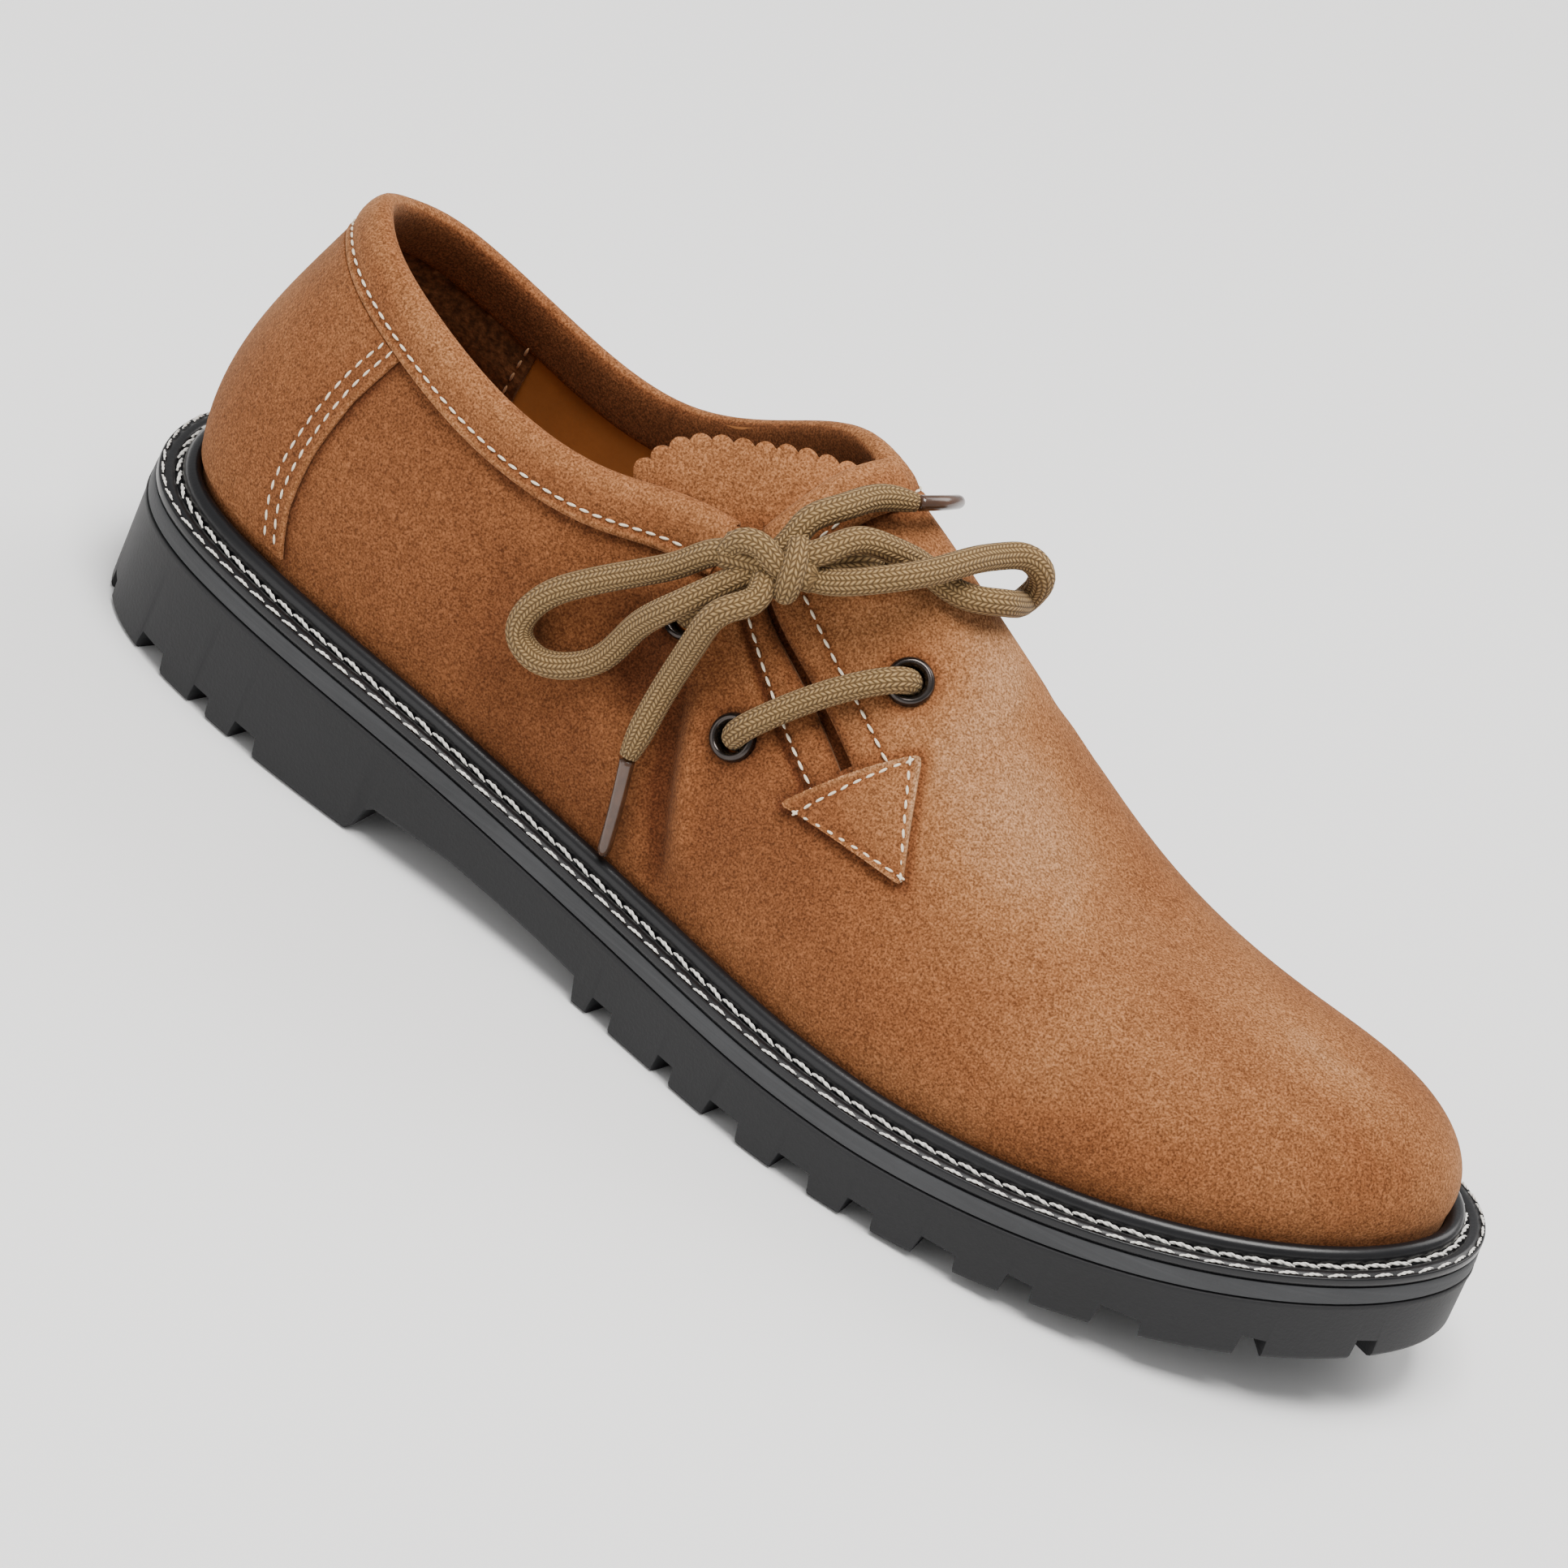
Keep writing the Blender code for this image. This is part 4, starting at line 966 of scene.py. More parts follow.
def creaseDepth(s, v, p):
    depth = np.zeros(len(s))
    for s0, v0, s1, v1, width, deep in creaseLook["rows"]:
        t = np.linspace(0.0, 1.0, 12)
        line = lastPoint(s0 + (s1 - s0) * t, v0 + (v1 - v0) * t)
        along = line[-1] - line[0]
        length = np.linalg.norm(along)
        near = np.full(len(s), 1e9)
        where = np.zeros(len(s))
        for k, q in enumerate(line):
            d = np.linalg.norm(p - q, axis=1)
            closer = d < near
            near[closer] = d[closer]
            where[closer] = t[k]
        a = (p - line[0]) @ along / length ** 2
        off = near
        for q0, q1 in zip(line, line[1:]):
            e = q1 - q0
            w = np.clip((p - q0) @ e / (e @ e), 0, 1)
            off = np.minimum(off, np.linalg.norm(p - (q0 + w[:, None] * e), axis=1))
        fade = np.sin(np.pi * np.clip(a * 0.9 + 0.05, 0, 1)) ** 0.5
        depth += deep * np.exp(-(off / width) ** 2) * fade
    return depth * creaseLook["scale"]


def skin(name, loops, holes, step, low, high, finishes, rim=0, extra=()):
    # Closed shell over regions of the last; low and high are lifts, or functions of s, v and place
    known = {}
    points = []
    faces = []
    for k, loop in enumerate(loops):
        sv, tris = fill(loop, holes if k == 0 else [], step, extra)
        index = []
        for s, v in sv:
            seam = s < seamEnd or s > 1 - seamEnd
            key = (round(s, 5), round(min(v, 2 - v), 4)) if seam else (round(s, 6), round(v, 5))
            if key not in known:
                known[key] = len(points)
                points.append((min(max(s, 0.0), 1.0), v))
            index.append(known[key])
        faces += [tuple(index[i] for i in t) for t in tris]
    faces = [f for f in faces if len(set(f)) == 3]
    sv = np.array(points)
    n = len(sv)
    s, v = sv[:, 0], sv[:, 1]
    base = lastPoint(s, v)
    normal = lastNormal(s, v)
    top = high(s, v, base) if callable(high) else np.full(n, high)
    bottom = low(s, v, base) if callable(low) else np.full(n, low)
    verts = np.vstack([base + normal * top[:, None], base + normal * bottom[:, None]])
    runs = {(f[k], f[(k + 1) % 3]) for f in faces for k in range(3)}
    border = [(b, a, a + n, b + n) for a, b in runs if (b, a) not in runs]
    under = [(c + n, b + n, a + n) for a, b, c in faces]
    mesh = meshOf(name, verts, faces + under + border)
    obj = placed(name, mesh, *finishes)
    if len(finishes) > 1:
        marks = np.zeros(len(mesh.polygons), int)
        marks[len(faces):len(faces) + len(under)] = 1
        marks[len(faces) + len(under):] = rim
        mesh.polygons.foreach_set("material_index", marks)
    return obj


# Geometry Nodes: a row of stitches along a line


def capsuleStitch():
    # Plain stitch, one unit long and one thick, bowed up over the leather
    mesh = bpy.data.meshes.new("capsuleStitch")
    bm = bmesh.new()
    bmesh.ops.create_uvsphere(bm, u_segments=8, v_segments=7, radius=0.5)
    for vert in bm.verts:
        x, y, z = vert.co
        vert.co = (z, x, y + 0.25 * (0.25 - z * z))
    bmesh.ops.recalc_face_normals(bm, faces=bm.faces)
    bm.to_mesh(mesh)
    bm.free()
    return placed("capsuleStitch", mesh)


def twistedStitch(turns=1.5, rings=14, sides=6):
    # Two plies twisted round each other, one unit long and one thick
    verts = []
    faces = []
    for ply in range(2):
        first = len(verts)
        for i in range(rings + 1):
            t = i / rings
            taper = math.sin(math.pi * min(max(t, 0.04), 0.96)) ** 0.35
            a = 2 * math.pi * turns * t + math.pi * ply
            cy, cz = 0.23 * taper * math.cos(a), 0.23 * taper * math.sin(a) + 0.35 * math.sin(math.pi * t) - 0.1
            for k in range(sides):
                b = 2 * math.pi * k / sides
                verts.append((t - 0.5, cy + 0.30 * taper * math.cos(b), cz + 0.30 * taper * math.sin(b)))
        for i in range(rings):
            for k in range(sides):
                a, b = first + i * sides + k, first + i * sides + (k + 1) % sides
                faces.append((a, b, b + sides, a + sides))
        faces.append(tuple(first + k for k in range(sides))[::-1])
        faces.append(tuple(first + rings * sides + k for k in range(sides)))
    return placed("twistedStitch", outwards(meshOf("twistedStitch", verts, faces)))


def stitchTree():
    tree = bpy.data.node_groups.new("stitchRow", "GeometryNodeTree")
    face = tree.interface
    face.new_socket("Geometry", in_out="INPUT", socket_type="NodeSocketGeometry")
    face.new_socket("Stitch", in_out="INPUT", socket_type="NodeSocketObject")
    for label, value in (("Pitch", 0.003), ("Length", 0.002), ("Thickness", 0.0006), ("Slant", 0.0), ("Wobble", 0.0)):
        face.new_socket(label, in_out="INPUT", socket_type="NodeSocketFloat").default_value = value
    face.new_socket("Thread", in_out="INPUT", socket_type="NodeSocketMaterial")
    face.new_socket("Geometry", in_out="OUTPUT", socket_type="NodeSocketGeometry")
    nodes, links = tree.nodes, tree.links
    inputs = nodes.new("NodeGroupInput").outputs
    curve = nodes.new("GeometryNodeMeshToCurve")
    links.new(inputs["Geometry"], curve.inputs["Mesh"])
    even = nodes.new("GeometryNodeResampleCurve")
    even.mode = "LENGTH"
    links.new(curve.outputs["Curve"], even.inputs["Curve"])
    links.new(inputs["Pitch"], even.inputs["Length"])
    tangent = nodes.new("GeometryNodeInputTangent")
    outward = nodes.new("GeometryNodeInputNamedAttribute")
    outward.data_type = "FLOAT_VECTOR"
    outward.inputs["Name"].default_value = "outward"
    lie = nodes.new("FunctionNodeAlignRotationToVector")
    lie.axis = "X"
    links.new(tangent.outputs["Tangent"], lie.inputs["Vector"])
    stand = nodes.new("FunctionNodeAlignRotationToVector")
    stand.axis = "Z"
    stand.pivot_axis = "X"
    links.new(lie.outputs["Rotation"], stand.inputs["Rotation"])
    links.new(outward.outputs["Attribute"], stand.inputs["Vector"])
    chance = nodes.new("FunctionNodeRandomValue")
    chance.data_type = "FLOAT"
    chance.inputs["Seed"].default_value = 7
    low = nodes.new("ShaderNodeMath")
    low.operation = "SUBTRACT"
    links.new(inputs["Slant"], low.inputs[0])
    links.new(inputs["Wobble"], low.inputs[1])
    high = nodes.new("ShaderNodeMath")
    high.operation = "ADD"
    links.new(inputs["Slant"], high.inputs[0])
    links.new(inputs["Wobble"], high.inputs[1])
    links.new(low.outputs[0], chance.inputs[2])
    links.new(high.outputs[0], chance.inputs[3])
    turn = nodes.new("ShaderNodeCombineXYZ")
    links.new(chance.outputs[1], turn.inputs["Z"])
    toRotation = nodes.new("FunctionNodeEulerToRotation")
    links.new(turn.outputs[0], toRotation.inputs[0])
    slant = nodes.new("FunctionNodeRotateRotation")
    slant.rotation_space = "LOCAL"
    links.new(stand.outputs["Rotation"], slant.inputs["Rotation"])
    links.new(toRotation.outputs[0], slant.inputs["Rotate By"])
    size = nodes.new("ShaderNodeCombineXYZ")
    links.new(inputs["Length"], size.inputs["X"])
    links.new(inputs["Thickness"], size.inputs["Y"])
    links.new(inputs["Thickness"], size.inputs["Z"])
    shape = nodes.new("GeometryNodeObjectInfo")
    links.new(inputs["Stitch"], shape.inputs["Object"])
    copies = nodes.new("GeometryNodeInstanceOnPoints")
    links.new(even.outputs["Curve"], copies.inputs["Points"])
    links.new(shape.outputs["Geometry"], copies.inputs["Instance"])
    links.new(slant.outputs["Rotation"], copies.inputs["Rotation"])
    links.new(size.outputs[0], copies.inputs["Scale"])
    real = nodes.new("GeometryNodeRealizeInstances")
    links.new(copies.outputs["Instances"], real.inputs["Geometry"])
    paint = nodes.new("GeometryNodeSetMaterial")
    links.new(real.outputs["Geometry"], paint.inputs["Geometry"])
    links.new(inputs["Thread"], paint.inputs["Material"])
    links.new(paint.outputs["Geometry"], nodes.new("NodeGroupOutput").inputs["Geometry"])
    return tree


def stitchRows(name, rows, tree, stitch, thread, pitch, length, thickness, slant=0.0, wobble=0.0):
    # rows: pairs of points along a line and the outward directions there
    verts = np.vstack([p for p, _ in rows])
    outward = np.vstack([n for _, n in rows])
    links = []
    first = 0
    for p, _ in rows:
        links += [(first + k, first + k + 1) for k in range(len(p) - 1)]
        first += len(p)
    mesh = bpy.data.meshes.new(name)
    mesh.from_pydata(verts.tolist(), links, [])
    mesh.attributes.new("outward", "FLOAT_VECTOR", "POINT").data.foreach_set("vector", outward.ravel())
    obj = bpy.data.objects.new(name, mesh)
    bpy.context.scene.collection.objects.link(obj)
    row = obj.modifiers.new("stitchRow", "NODES")
    row.node_group = tree
    values = {"Stitch": stitch, "Pitch": pitch, "Length": length, "Thickness": thickness,
              "Slant": slant, "Wobble": wobble, "Thread": thread}
    for item in tree.interface.items_tree:
        if item.item_type == "SOCKET" and item.in_out == "INPUT" and item.name in values:
            row[item.identifier] = values[item.name]
    applied(obj)
    obj.data.shade_smooth()
    print("stitches", name, len(obj.data.polygons))
    return finished(obj, None)


def rowOnLast(path, lift, step=0.0012):
    fine = resample(path, step)
    s, v = fine[:, 0], fine[:, 1]
    return onLast(s, v, lift), lastNormal(s, v)


# Camera, floor and lights


view = {
    "azimuth": 20.7,          # degrees round from the outer side towards the toe
    "elevation": 30.1,
    "roll": 23.4,
    "distance": 2.14,
    "target": (0.0, 0.0045, 0.03),
    "aside": (-0.0043, 0.0105),   # the middle of the picture from the target, across and up
    "lens": 262.0,
}


def makeCamera():
    az, el, roll = (math.radians(view[k]) for k in ("azimuth", "elevation", "roll"))
    back = Vector((math.sin(az) * math.cos(el), -math.cos(az) * math.cos(el), math.sin(el)))
    right = Vector((math.cos(az), math.sin(az), 0.0))
    up = back.cross(right)
    across = right * math.cos(roll) + up * math.sin(roll)
    above = up * math.cos(roll) - right * math.sin(roll)
    target = Vector(view["target"]) + across * view["aside"][0] + above * view["aside"][1]
    data = bpy.data.cameras.new("camera")
    data.lens = view["lens"]
    data.clip_start = 0.05
    camera = bpy.data.objects.new("camera", data)
    bpy.context.scene.collection.objects.link(camera)
    camera.matrix_world = Matrix.Translation(target + back * view["distance"]) @ Matrix(
        (across, above, back)).transposed().to_4x4()
    bpy.context.scene.camera = camera
    return back, across, above


lights = {
    # name: direction towards it along the camera's across, above and back, distance, size, watts
    "key": ((0.35, 0.75, 0.75), 1.7, 0.9, 46.0),
    "fill": ((-0.90, 0.15, 0.80), 1.8, 1.4, 10.0),
    "rim": ((0.75, 0.55, -0.15), 1.6, 0.9, 12.0),
}


def makeStudio(back, across, above):
    for name, (toward, distance, size, watts) in lights.items():
        way = (across * toward[0] + above * toward[1] + back * toward[2]).normalized()
        data = bpy.data.lights.new(name, "AREA")
        data.size = size
        data.energy = watts
        data.color = (1.0, 0.985, 0.965)
        lamp = bpy.data.objects.new(name, data)
        bpy.context.scene.collection.objects.link(lamp)
        lamp.location = Vector(view["target"]) + way * distance
        lamp.rotation_mode = "QUATERNION"
        lamp.rotation_quaternion = way.to_track_quat("Z", "Y")
    world = bpy.data.worlds.new("studio")
    bpy.context.scene.world = world
    world.use_nodes = True
    world.node_tree.nodes["Background"].inputs["Color"].default_value = (1.0, 1.0, 1.0, 1.0)
    world.node_tree.nodes["Background"].inputs["Strength"].default_value = 0.55
    finish, _, _, shader = simpleMaterial("paleFloor")
    shader.inputs["Base Color"].default_value = (0.93, 0.93, 0.93, 1.0)
    shader.inputs["Roughness"].default_value = 0.9
    floor = placed("floor", meshOf("floor", [(-6, -6, 0), (6, -6, 0), (6, 6, 0), (-6, 6, 0)], [(0, 1, 2, 3)]), finish)


# Cords


cordLook = {
    "sides": 20,
    "step": 0.0011,
    "diameter": laceDiameter,
}


def smoothRoute(points, step):
    p = np.asarray(points, float)
    d = np.r_[0, np.cumsum(np.linalg.norm(np.diff(p, axis=0), axis=1))]
    t = np.linspace(0, d[-1], 600)
    c = np.column_stack([smoothLine(d, p[:, k], t) for k in range(3)])
    run = np.r_[0, np.cumsum(np.linalg.norm(np.diff(c, axis=0), axis=1))]
    n = max(4, int(round(run[-1] / step)))
    s = np.linspace(0, run[-1], n + 1)
    return np.column_stack([np.interp(s, run, c[:, k]) for k in range(3)])


def cordMesh(name, route, radii, finish, closed=False):
    # Tube along the route with rounded ends and a UV map for the braid
    n = len(route)
    sides = cordLook["sides"]
    ahead = np.gradient(route, axis=0)
    if closed:
        ahead = np.roll(route, -1, axis=0) - np.roll(route, 1, axis=0)
    ahead /= np.linalg.norm(ahead, axis=1)[:, None]
    side = np.cross(ahead[0], (0.3, -0.8, 0.5))
    side /= np.linalg.norm(side)
    frames = []
    for a in ahead:
        side = side - a * (side @ a)
        side /= np.linalg.norm(side)
        frames.append((side, np.cross(a, side)))
    run = np.r_[0, np.cumsum(np.linalg.norm(np.diff(route, axis=0), axis=1))]
    turn = np.linspace(0, 2 * math.pi, sides, endpoint=False)
    verts = []
    for p, (e, f), r in zip(route, frames, radii):
        verts += [p + r * (math.cos(a) * e + math.sin(a) * f) for a in turn]
    faces = []
    ends = []
    for i in range(n - 1 if not closed else n):
        a, b = i * sides, (i + 1) % n * sides
        faces += [(a + k, a + (k + 1) % sides, b + (k + 1) % sides, b + k) for k in range(sides)]
    if not closed:
        for i, sign in ((0, -1), (n - 1, 1)):
            ends.append(len(verts))
            verts.append(route[i] + ahead[i] * radii[i] * 0.35 * sign)
            loop = [i * sides + k for k in range(sides)]
            faces += [(loop[k], loop[(k + 1) % sides], ends[-1])[::-sign] for k in range(sides)]
    mesh = outwards(meshOf(name, verts, faces))
    layer = mesh.uv_layers.new(name="cord")
    for poly in mesh.polygons:
        rings = [v // sides for v in poly.vertices if v < n * sides]
        cols = [v % sides for v in poly.vertices if v < n * sides]
        wrap = max(cols) - min(cols) > sides // 2
        ringWrap = max(rings) - min(rings) > 2
        for li in poly.loop_indices:
            v = mesh.loops[li].vertex_index
            if v >= n * sides:
                layer.data[li].uv = (run[0 if v == ends[0] else -1], (min(cols) + 0.5) / sides)
                continue
            ring, col = v // sides, v % sides
            u = run[ring] if not (ringWrap and ring < n // 2) else run[-1] + (run[-1] - run[-2])
            layer.data[li].uv = (u, (col + (sides if wrap and col < sides // 2 else 0)) / sides)
    return placed(name, mesh, finish)


def evenRadii(count, radius, squeeze=()):
    r = np.full(count, radius)
    for at, width, share in squeeze:
        k = np.arange(count) / (count - 1)
        r *= 1 - share * np.exp(-((k - at) / width) ** 2)
    return r


# The upper and what is sewn to it


seams = {
    # rows of stitches as s, v on the last
    "facingRear": ((0.408, 0.500), (0.420, 0.480), (0.456, 0.430), (0.485, 0.400), (0.517, 0.378)),
    "facingFront": ((0.428, 0.585), (0.443, 0.573), (0.476, 0.550), (0.508, 0.540), (0.539, 0.532)),
    "counterFront": ((0.171, 0.360), (0.165, 0.307), (0.163, 0.247), (0.163, 0.182), (0.165, 0.125), (0.171, 0.077)),
    "patch": ((0.517, 0.336), (0.5535, 0.578), (0.592, 0.428)),
    "counterPitch": 0.0085,     # share of s between the counter's two rows
    "collarInset": 0.0021,      # collar's row from the band's lower edge
    "dentWidth": 0.0009,
    "dentDepth": 0.00035,
    "stripEdge": 0.0013,        # cut edge of the facing outside its rear row
}


def rowPaths():
    return {
        "rear": curveThrough(seams["facingRear"]),
        "front": curveThrough(seams["facingFront"]),
    }


def facingSide(path):
    # Which way is away from the slit, towards the heel
    return 1.0 if sideways(path, 0.002)[2, 0] < path[2, 0] else -1.0


def upperLoop(step):
    rear, front = slitEdges()
    top = collarOuter[0][1]
    heel = resample([(0.0, top), (0.0, 0.0)], step)
    return np.vstack([
        resample([(0.0, 0.0), (1.0, 0.0)], step)[:-1],
        upTheToe(step)[:-1],
        resample([(1.0, 2.0), (0.0, 2.0)], step)[:-1],
        innerSide(heel)[::-1][:-1],
        resample(innerCollarPath(), step)[:-1],
        resample(front, step),
        resample(rear[::-1], step),
        resample(outerCollarPath()[::-1], step)[:-1],
        heel[:-1],
    ])


def outerCollarPath():
    return curveThrough(collarOuter, 60)


def innerCollarPath():
    rows = [(s, 2 - v) for s, v in collarInner] + list(throatEdge[1:])
    return curveThrough(rows, 120)


def slitEdges():
    mid = curveThrough(slit, 30)
    a = np.array(slit)
    half = np.interp(mid[:, 0], a[:, 0], a[:, 2])
    return sideways(mid, -half), sideways(mid, half)


def upTheToe(step):
    half = resample([(1.0, 0.0), (1.0, 1.0)], step)
    other = np.column_stack([half[:, 0], 2 - half[:, 1]])[::-1]
    return np.vstack([half, other[1:]])


def ringOnLast(s, v, radius, count=28):
    p = lastPoint(s, v)
    ps = (lastPoint(s + sample, v) - p) / sample
    pv = (lastPoint(s, v + sample) - p) / sample
    e1 = ps / np.linalg.norm(ps)
    e2 = np.cross(lastNormal(np.array(s), np.array(v)), e1)
    axes = np.array([[ps @ e1, pv @ e1], [ps @ e2, pv @ e2]])
    loop = []
    for k in range(count):
        a = 2 * math.pi * k / count
        d = np.linalg.solve(axes, radius * np.array([math.cos(a), math.sin(a)]))
        loop.append((s + d[0], v + d[1]))
    return np.array(loop)


upperLook = {
    "step": 0.0019,
    "eyeletPucker": 0.0004,
    "napToneAndPaintedLight": (
        # s, v, reach in s, reach in v, lighter or darker; the rows are partly the nap's own tone and partly painted
        # light: painted highlight over the instep and toe, painted shade low on the quarter, and a painted shadow under
        # the rear lace loop at 0.385, 0.330
        (0.620, 0.780, 0.110, 0.330, 0.30),
        (0.560, 0.980, 0.090, 0.300, 0.16),
        (0.900, 0.880, 0.090, 0.300, 0.24),
        (0.400, 0.120, 0.120, 0.160, -0.16),
        (0.520, 0.260, 0.070, 0.130, -0.18),
        (0.385, 0.330, 0.035, 0.070, -0.26),
        (0.250, 0.240, 0.100, 0.160, -0.10),
        (0.080, 0.240, 0.080, 0.160, -0.08),
        (0.700, 0.200, 0.120, 0.120, -0.08),
        (0.780, 0.560, 0.080, 0.250, 0.06),
    ),
}


def belowCollar(path, inner):
    # The part of a path that lies below the collar band
    edgePath = collarOffset(collarWidth + 0.0006)[1 if inner else 0]
    order = np.argsort(edgePath[:, 0])
    limit = np.interp(path[:, 0], edgePath[order, 0], edgePath[order, 1])
    return path[path[:, 1] > limit] if inner else path[path[:, 1] < limit]


def napToneAndPaintedLight(s, v):
    # Broad patches of the nap's tone mixed with painted highlight over the instep and toe and painted shade low on the
    # quarter, under the rear lace loop and along the welt
    shade = np.full(len(s), 0.5)
    for s0, v0, wide, high, change in upperLook["napToneAndPaintedLight"]:
        shade += change * np.exp(-((s - s0) / wide) ** 2 - ((v - v0) / high) ** 2)
    h = np.minimum(v, 2 - v)
    return shade - 0.16 * np.exp(-h / 0.035)


def paint(obj, shade):
    # 0.5 leaves the suede's colour alone, below is darker, above is lighter. The values carry painted shade and painted
    # highlight as well as tone, and a shell's underside is painted 0.05 darker as shade.
    mark = obj.data.attributes.new("shade", "FLOAT", "POINT")
    values = np.full(len(obj.data.vertices), 0.5)
    values[:len(shade)] = np.clip(shade, 0.02, 0.98)
    if len(shade) * 2 == len(values):
        values[len(shade):] = np.clip(np.asarray(shade) - 0.05, 0.02, 0.98)
    mark.data.foreach_set("value", values)


def makeUpper(suedeFinish, lining):
    paths = rowPaths()
    extra = []
    for off in (-0.0008, 0.0, 0.0007, 0.0014):
        extra.append(resample(sideways(paths["rear"], facingSide(paths["rear"]) * (seams["stripEdge"] + off)), 0.0014))
    for path in paths.values():
        for side in (-0.0016, -0.0008, 0.0, 0.0008, 0.0016):
            extra.append(resample(sideways(path, side), 0.0014)[1:-1])
    rows = {k: onSurface(p) for k, p in paths.items()}
    eyes = [(lastPoint(s, v)) for _, s, v in eyelets]
    rearEdge = onSurface(slitEdges()[0])
    frontEdge = onSurface(slitEdges()[1])
    stripEdge = onSurface(sideways(paths["rear"], facingSide(paths["rear"]) * seams["stripEdge"]))
    bandEdges = [onSurface(p) for p in collarOffset(collarWidth + 0.0003)]
    patchEdge = onSurface([patch[k] for k in (0, 1, 2, 0)])
    counterLine = onSurface(curveThrough(counterEdge))
    otherCounter = onSurface(innerSide(curveThrough(counterEdge)))

    def shadeOf(s, v, p, depth):
        # Painted shade and highlight: darker in creases and lighter on ridges, darker in the stitch dents, along the
        # slit's edges and the facing's cut edge, at the edges of the band, patch and counter, and round each eyelet's
        # rim
        shade = napToneAndPaintedLight(s, v)
        shade -= np.clip(depth, 0, None) * 150 - np.clip(-depth, 0, None) * 120
        for line in rows.values():
            shade -= 0.16 * np.exp(-(nearest(p, line) / 0.0009) ** 2)
        for line in (rearEdge, frontEdge):
            shade -= 0.22 * np.exp(-(nearest(p, line) / 0.0012) ** 2)
        shade -= 0.55 * np.exp(-(nearest(p, stripEdge) / 0.0007) ** 2)
        for line in (*bandEdges, patchEdge, counterLine, otherCounter):
            shade -= 0.36 * np.exp(-(nearest(p, line) / 0.0013) ** 2)
        for eye in eyes:
            d = np.linalg.norm(p - eye, axis=1)
            shade -= 0.20 * np.exp(-((d - 0.0048) / 0.0018) ** 2)
        return shade

    shades = {}

    def outerFace(s, v, p):
        depth = creaseDepth(s, v, p)
        shades["upper"] = shadeOf(s, v, p, depth)
        lift = -depth
        lift -= 0.0008 * np.exp(-(nearest(p, stripEdge) / 0.0007) ** 2)
        for line in rows.values():
            d = nearest(p, line)
            lift -= seams["dentDepth"] * np.exp(-(d / seams["dentWidth"]) ** 2)
        for line in (rearEdge, frontEdge):
            lift -= 0.0006 * np.exp(-(nearest(p, line) / 0.0010) ** 2)
        for eye in eyes:
            d = np.linalg.norm(p - eye, axis=1)
            lift += upperLook["eyeletPucker"] * np.exp(-((d - 0.0062) / 0.0018) ** 2)
            lift -= 0.0003 * np.exp(-(d / 0.0042) ** 4)
        return lift

    holes = [ringOnLast(s, v, eyeletBarrel / 2 + 0.0003) for _, s, v in eyelets]
    def innerFace(s, v, p):
        return -wall - np.clip(creaseDepth(s, v, p), 0, None)

    obj = skin("upperSuede", [upperLoop(0.0016)], holes, upperLook["step"], innerFace, outerFace,
               (suedeFinish, lining), extra=np.vstack(extra))
    paint(obj, shades["upper"])
    print("upper", len(obj.data.polygons))
    return finished(obj, "cognac_suede", "upper")


collarProfile = (
    # distance down from the topline (below zero it rolls over the top), lift off the last
    (0.0094, 0.00015), (0.0098, 0.00060), (0.0095, 0.00130), (0.0086, 0.00150), (0.0076, 0.00110),
    (0.0066, 0.00145), (0.0050, 0.00185), (0.0030, 0.00185), (0.0012, 0.00150), (-0.0002, 0.00080),
    (-0.0010, -0.00040), (-0.0010, -0.00170), (-0.0002, -0.00270), (0.0014, -0.00320), (0.0040, -0.00340),
    (0.0075, -0.00330), (0.0098, -0.00310), (0.0102, -0.00275), (0.0098, -0.00250), (0.0060, -0.00245),
    (0.0015, -0.00240), (0.0001, -0.00225), (-0.0003, -0.00100), (0.0001, 0.00010), (0.0020, 0.00015),
)


def rounded(points, times):
    # Corner cutting, twice as many points each time
    p = np.asarray(points, float)
    for _ in range(times):
        q = np.roll(p, -1, axis=0)
        p = np.column_stack([p * 0.75 + q * 0.25, p * 0.25 + q * 0.75]).reshape(-1, p.shape[1])
    return p


def collarOffset(d):
    outer = sideways(outerCollarPath(), -d)
    inner = sideways(innerCollarPath(), d)
    outer[0, 0] = inner[0, 0] = 0.0
    inner[0, 1] = 2 - outer[0, 1]
    return outer, inner


def collarShade(d, lift):
    # Painted shade: the inside of the roll is darkened and a dark line lies along the stitch row; the band is lighter
    # along its rolled top and at its lower cut edge
    if lift < -0.0020:
        return 0.26
    if d > 0.0088:
        return 0.62
    return 0.50 + 0.12 * math.exp(-((d - 0.001) / 0.002) ** 2) - 0.16 * math.exp(-((d - 0.0074) / 0.0006) ** 2)


